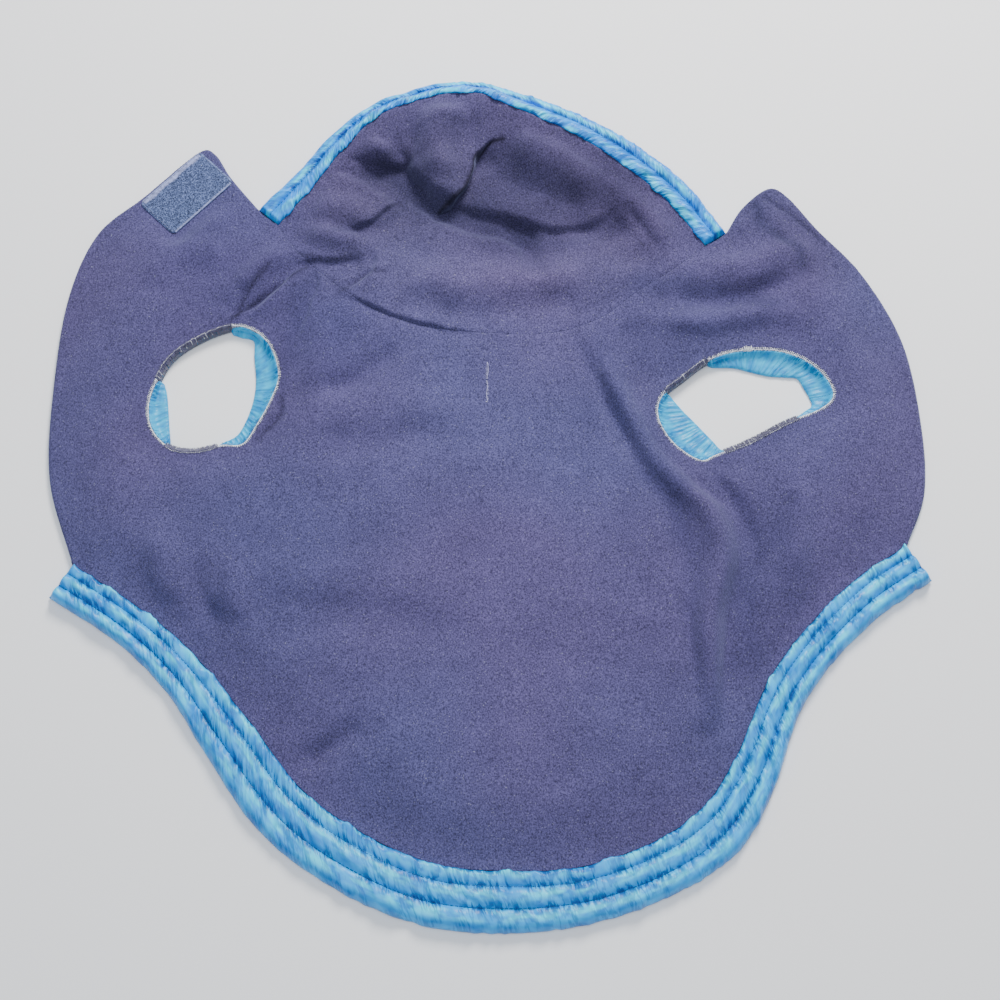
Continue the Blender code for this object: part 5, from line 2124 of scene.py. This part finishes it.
# ---------------------------------------------------------------- fastener and slit
@dataclass
class LoopPatch:
    """The touch fastener's loop side: a tape with selvedges, tufts and a stitched edge."""

    base: float = 5.0
    top: float = 6.1
    outer_selvedge: float = 5.0
    inner_selvedge: float = 1.6
    tuft_pitch: float = 1.15
    tuft_thread: float = 0.13
    stitch_every: float = 2.6
    stitch_length: float = 2.0
    stitch_bend: float = 0.25
    stitch_thread: float = 0.2
    selvedge_rows: int = 60
    selvedge_wall: float = 0.3
    seed: int = 9

    def build(self) -> list[Piece]:
        """Makes the tape, its selvedges, its loops and its stitches.

        Returns:
            The finished pieces.
        """
        return [self._tape(), self._selvedges(), self._loops(), self._stitches()]

    def _tape(self) -> Piece:
        """The tape: a thin slab with a rounded edge."""
        rings = []
        for offset, height in ((0.0, self.base - 0.2), (0.0, self.top - 0.5), (-0.35, self.top - 0.1),
                               (-0.9, self.top), (-2.5, self.top)):
            loop = patch_loop(LOOP_TAPE, offset, 4.5)
            rings.append(np.column_stack([loop, np.full(len(loop), height)]))
        n = len(rings[0])
        faces = [[k * n + i, k * n + (i + 1) % n, (k + 1) * n + (i + 1) % n, (k + 1) * n + i]
                 for k in range(len(rings) - 1) for i in range(n)]
        faces += [list(range(n))[::-1], [(len(rings) - 1) * n + i for i in range(n)]]
        piece = piece_from("loop_tape", np.concatenate(rings), faces, PILE)
        outward(piece)
        ride(piece, Slot.PILE, ("loop_patch",))
        return piece

    def _selvedges(self) -> Piece:
        """The woven edges along both long sides, and the thin turned ends."""
        half_length, half_width = LOOP_TAPE.length / 2 - 2.5, LOOP_TAPE.width / 2
        shares = np.array([0.0, 0.12, 0.4, 0.75, 1.0])
        lift = np.array([-0.9, 0.12, 0.24, 0.18, -0.1])
        verts, faces = [], []
        for sign, wide in ((1, self.outer_selvedge), (-1, self.inner_selvedge)):
            rows = self.selvedge_rows
            along = np.linspace(-half_length, half_length, rows)
            width = wide * (1 + 0.12 * np.sin(along * 0.31 + sign))
            across = sign * (half_width - 0.05 - shares[None] * width[:, None])
            spots = turned(np.repeat(along[:, None], len(shares), axis=1), across, LOOP_TAPE)
            heights = np.broadcast_to(self.top + lift, (rows, len(shares)))[..., None]
            faces += grid_faces(rows, len(shares), start=sum(map(len, verts)))
            verts.append(np.concatenate([spots, heights], axis=-1).reshape(-1, 3))
        piece = piece_from("loop_tape_selvedges", np.concatenate(verts), faces, SELVEDGE)
        mesh = bmesh.new()
        mesh.from_mesh(piece.data)
        bmesh.ops.reverse_faces(mesh, faces=[f for f in mesh.faces if f.normal.z < 0])
        mesh.to_mesh(piece.data)
        mesh.free()
        solidify(piece, self.selvedge_wall)
        ride(piece, Slot.PILE)
        return piece

    def _loops(self) -> Piece:
        """Hundreds of tiny brushed loops."""
        random = np.random.default_rng(self.seed)
        strands = Strands(3)
        half_length = LOOP_TAPE.length / 2 - 1.2
        low = -LOOP_TAPE.width / 2 + self.inner_selvedge + 0.2
        high = LOOP_TAPE.width / 2 - self.outer_selvedge + 0.4
        spread, rise = np.array([-1, -0.5, 0.5, 1]), np.array([-0.1, 0.9, 1.0, -0.1])
        for a in np.arange(-half_length, half_length, self.tuft_pitch):
            for c in np.arange(low, high, self.tuft_pitch):
                place = np.array([a, c]) + random.normal(0, 0.3, 2)
                angle, size = random.uniform(0, math.pi), random.uniform(0.4, 0.85)
                way = np.array([math.cos(angle), math.sin(angle)]) * size
                spots = turned(place[0] + way[0] * spread, place[1] + way[1] * spread, LOOP_TAPE)
                tops = self.top + random.uniform(0.35, 0.8) * rise
                strands.add(np.column_stack([spots, tops]), self.tuft_thread)
        return strands.piece("loop_tape_pile", PILE, Slot.PILE)

    def _stitches(self) -> Piece:
        """The thread that sews the tape down all round."""
        strands = Strands(4)
        plan = closed(patch_loop(LOOP_TAPE, -1.3, 2.0))
        line = np.column_stack([plan, np.full(len(plan), self.top)])
        starts = np.arange(0, run_along(line)[-1] - self.stitch_length, self.stitch_every)
        strands.sew(line, starts, self.stitch_length, self.stitch_bend, self.stitch_thread)
        return strands.piece("loop_tape_stitching", SELVEDGE)


@dataclass
class LeashSlit:
    """The stitched slit in the back for a leash."""

    coat: LaidCoat
    level: float = LINING_TOP
    pitch: float = 0.95
    skipped: float = 0.16
    thread: float = 0.24
    cord: float = 0.3
    seed: int = 13

    def build(self) -> Piece:
        """Makes the close stitches along the slit.

        Returns:
            The finished piece.
        """
        random = np.random.default_rng(self.seed)
        strands = Strands(4)
        ys = np.arange(SLIT_LOW - 0.5, SLIT_HIGH + 0.8, self.pitch)
        bed = self.coat.height(np.stack([np.full(len(ys), SLIT_X), ys], axis=1))
        for y, z in zip(ys, bed + self.level):
            if random.uniform() < self.skipped:
                continue
            bend = 0.5 * math.sin(y * 0.23) + random.normal(0, 0.12)
            half = random.uniform(0.55, 1.05)
            x = SLIT_X + bend + np.array([-1.0, -0.5, 0.5, 1.0]) * half
            slope = random.uniform(-0.4, 0.5) * np.array([-1, -0.5, 0.5, 1])
            tops = z + np.array([-0.25, 0.22, 0.22, -0.25])
            strands.add(np.column_stack([x, y + slope, tops]), self.thread)
        for x, low, high in SLIT_CORDS:
            y = np.linspace(low, high, 9)
            z = self.coat.height(np.stack([np.full(9, x), y], axis=1)) + self.level + self.cord
            strands.add(np.column_stack([x + 0.4 * np.sin(y * 0.5), y, z]), self.cord)
        return strands.piece("leash_slit_stitches", SLIT_THREAD)


# ---------------------------------------------------------------- studio
class SoftLight(NamedTuple):
    """A soft light: its name, place and size in metres, power in watts and colour."""

    name: str
    place: Triple
    size: float
    power: float
    colour: Triple


LIGHTS = [SoftLight(*row) for row in (
    ("back_light", (0.35, 1.25, 1.05), 0.55, 40.0, (1.0, 0.97, 0.95)),
    ("top_light", (-0.1, -0.1, 1.9), 1.6, 17.0, (0.97, 0.98, 1.0)),
)]


@dataclass
class Studio:
    """Pale floor, soft lights and the camera."""

    aim: Triple = (0.010, -0.015, 0.0)
    elevation: float = 72.0
    distance: float = 1.10
    seen: float = 0.70
    floor_size: float = 6.0
    floor_gap: float = 0.0003
    sensor: float = 36.0
    sky: Triple = (0.80, 0.88, 1.0)
    sky_strength: float = 0.6

    def build(self) -> None:
        """Makes the floor, the lights and the camera."""
        self._floor()
        for row in LIGHTS:
            self._light(row)
        world = bpy.data.worlds.new("studio")
        bpy.context.scene.world = world
        world.use_nodes = True
        background = world.node_tree.nodes["Background"]
        background.inputs["Color"].default_value = (*self.sky, 1)
        background.inputs["Strength"].default_value = self.sky_strength
        self._camera()

    def _floor(self) -> None:
        """The pale surface that the coat lies on."""
        bpy.ops.mesh.primitive_plane_add(
            size=self.floor_size, location=(0, 0, -self.floor_gap))
        floor = bpy.context.object
        floor.name = "floor"
        floor.data.materials.append(FLOOR.material())

    def _light(self, row: SoftLight) -> None:
        """A soft light that looks at the coat.

        Args:
            row: The light.
        """
        data = bpy.data.lights.new(row.name, "AREA")
        data.shape, data.size, data.energy, data.color = "DISK", row.size, row.power, row.colour
        light = bpy.data.objects.new(row.name, data)
        light.location = row.place
        way = Vector(self.aim) - Vector(row.place)
        light.rotation_euler = way.to_track_quat("-Z", "Y").to_euler()
        bpy.context.scene.collection.objects.link(light)

    def _camera(self) -> None:
        """The camera, looking down at the coat from its hem side."""
        data = bpy.data.cameras.new("camera")
        data.sensor_width = self.sensor
        data.lens = self.sensor * self.distance / self.seen
        data.clip_start, data.clip_end = 0.01, 50
        camera = bpy.data.objects.new("camera", data)
        tilt = math.radians(self.elevation)
        back = Vector((0, -math.cos(tilt), math.sin(tilt)))
        camera.location = Vector(self.aim) + back * self.distance
        camera.rotation_euler = (-back).to_track_quat("-Z", "Y").to_euler()
        bpy.context.scene.collection.objects.link(camera)
        bpy.context.scene.camera = camera


# ---------------------------------------------------------------- the coat
@dataclass
class DogCoat:
    """The whole coat, piece by piece."""

    coat: LaidCoat = field(default_factory=LaidCoat)

    def build(self) -> None:
        self._body()
        self._hood()
        self._bands()
        self._openings()
        self._small_parts()

    def _body(self) -> None:
        """The lining and the outer cloth of the back and chest flaps."""
        coat = self.coat
        holes = (coat.shut["hole_left"], coat.shut["hole_right"])
        lining = ClothSheet(
            coat, "fleece_body", coat.areas["body_lining"], ("body_lining",), FLEECE, Slot.FLEECE,
            holes=holes, lapped=True, grooves=(coat.lines["neck"],), seam_roll=0.1,
            seams=(coat.lines["neck"], coat.lines["hem_inner"])).build()
        shell = ClothSheet(
            coat, "satin_body", coat.areas["body_shell"], ("body_shell",), SHELL_SATIN, Slot.SATIN,
            face=Face.DOWN, holes=holes, room=4.0, pitch=5.0, level=0.05, wall=1.1, edge_roll=2.5,
            inset=1.2, seam_roll=0.4, seams=(coat.lines["neck"],)).build()

    def _hood(self) -> None:
        """Both halves of the hood, lining and outer cloth."""
        coat = self.coat
        for side, flat, area in (("left", (0.19, 0.20), 0.0245), ("right", (0.18, 0.18), 0.0195)):
            lining = ClothSheet(
                coat, "fleece_hood_" + side, coat.areas["hood_" + side], ("hood_lining_" + side,),
                FLEECE, Slot.FLEECE, lapped=True, grooves=(coat.lines["neck"], coat.lines["centre"]),
                pitch=1.8, edge_roll=0.5, seam_roll=0.06, inset=0.0,
                seams=(coat.lines["neck"], coat.lines["centre"])).build()
            shell = ClothSheet(
                coat, "satin_hood_" + side, coat.areas["hood_shell_" + side],
                ("hood_shell_" + side,), SHELL_SATIN, Slot.SATIN, face=Face.DOWN, room=3.5, pitch=3.6,
                level=0.05, wall=1.1, edge_roll=0.8, seam_roll=0.4, inset=0.1).build()

    def _bands(self) -> None:
        """The hem border and the hood's rim."""
        coat = self.coat
        border = HemBorder(coat, "hem_border", "hem_facing", coat.lines["hem_inner"],
                           coat.lines["hem_outer"], HEM_CHANNELS)
        piece = border.build()
        sewn = border.stitches()
        rim = HoodRim(coat, "hood_rim_band", "hood_rim", coat.lines["rim_inner"],
                      coat.lines["rim_outer"], RIM_CHANNELS, row_step=0.9, columns=32, seed=17)
        piece = rim.build()
        sewn = rim.stitches()

    def _openings(self) -> None:
        """The cuffs under the leg holes, and the stitches round the holes."""
        for side, flat, area in (("left", (0.40, 0.019), 0.0068), ("right", (0.42, 0.022), 0.0080)):
            cuff = LegCuff(self.coat, side)
            piece = cuff.build()
            sewn = Overlock(self.coat, cuff).build()

    def _small_parts(self) -> None:
        """The touch fastener and the leash slit."""
        LoopPatch().build()
        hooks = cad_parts["hook_patch"]
        hooks.data.materials.clear()
        hooks.data.materials.append(HOOKS.material())
        LeashSlit(self.coat).build()


def main() -> None:
    """Builds the coat and the studio."""
    logging.basicConfig(level=logging.INFO, format="%(message)s")
    bpy.ops.object.select_all(action="DESELECT")
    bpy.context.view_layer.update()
    DogCoat().build()
    Studio().build()


if __name__ == "__main__":
    main()
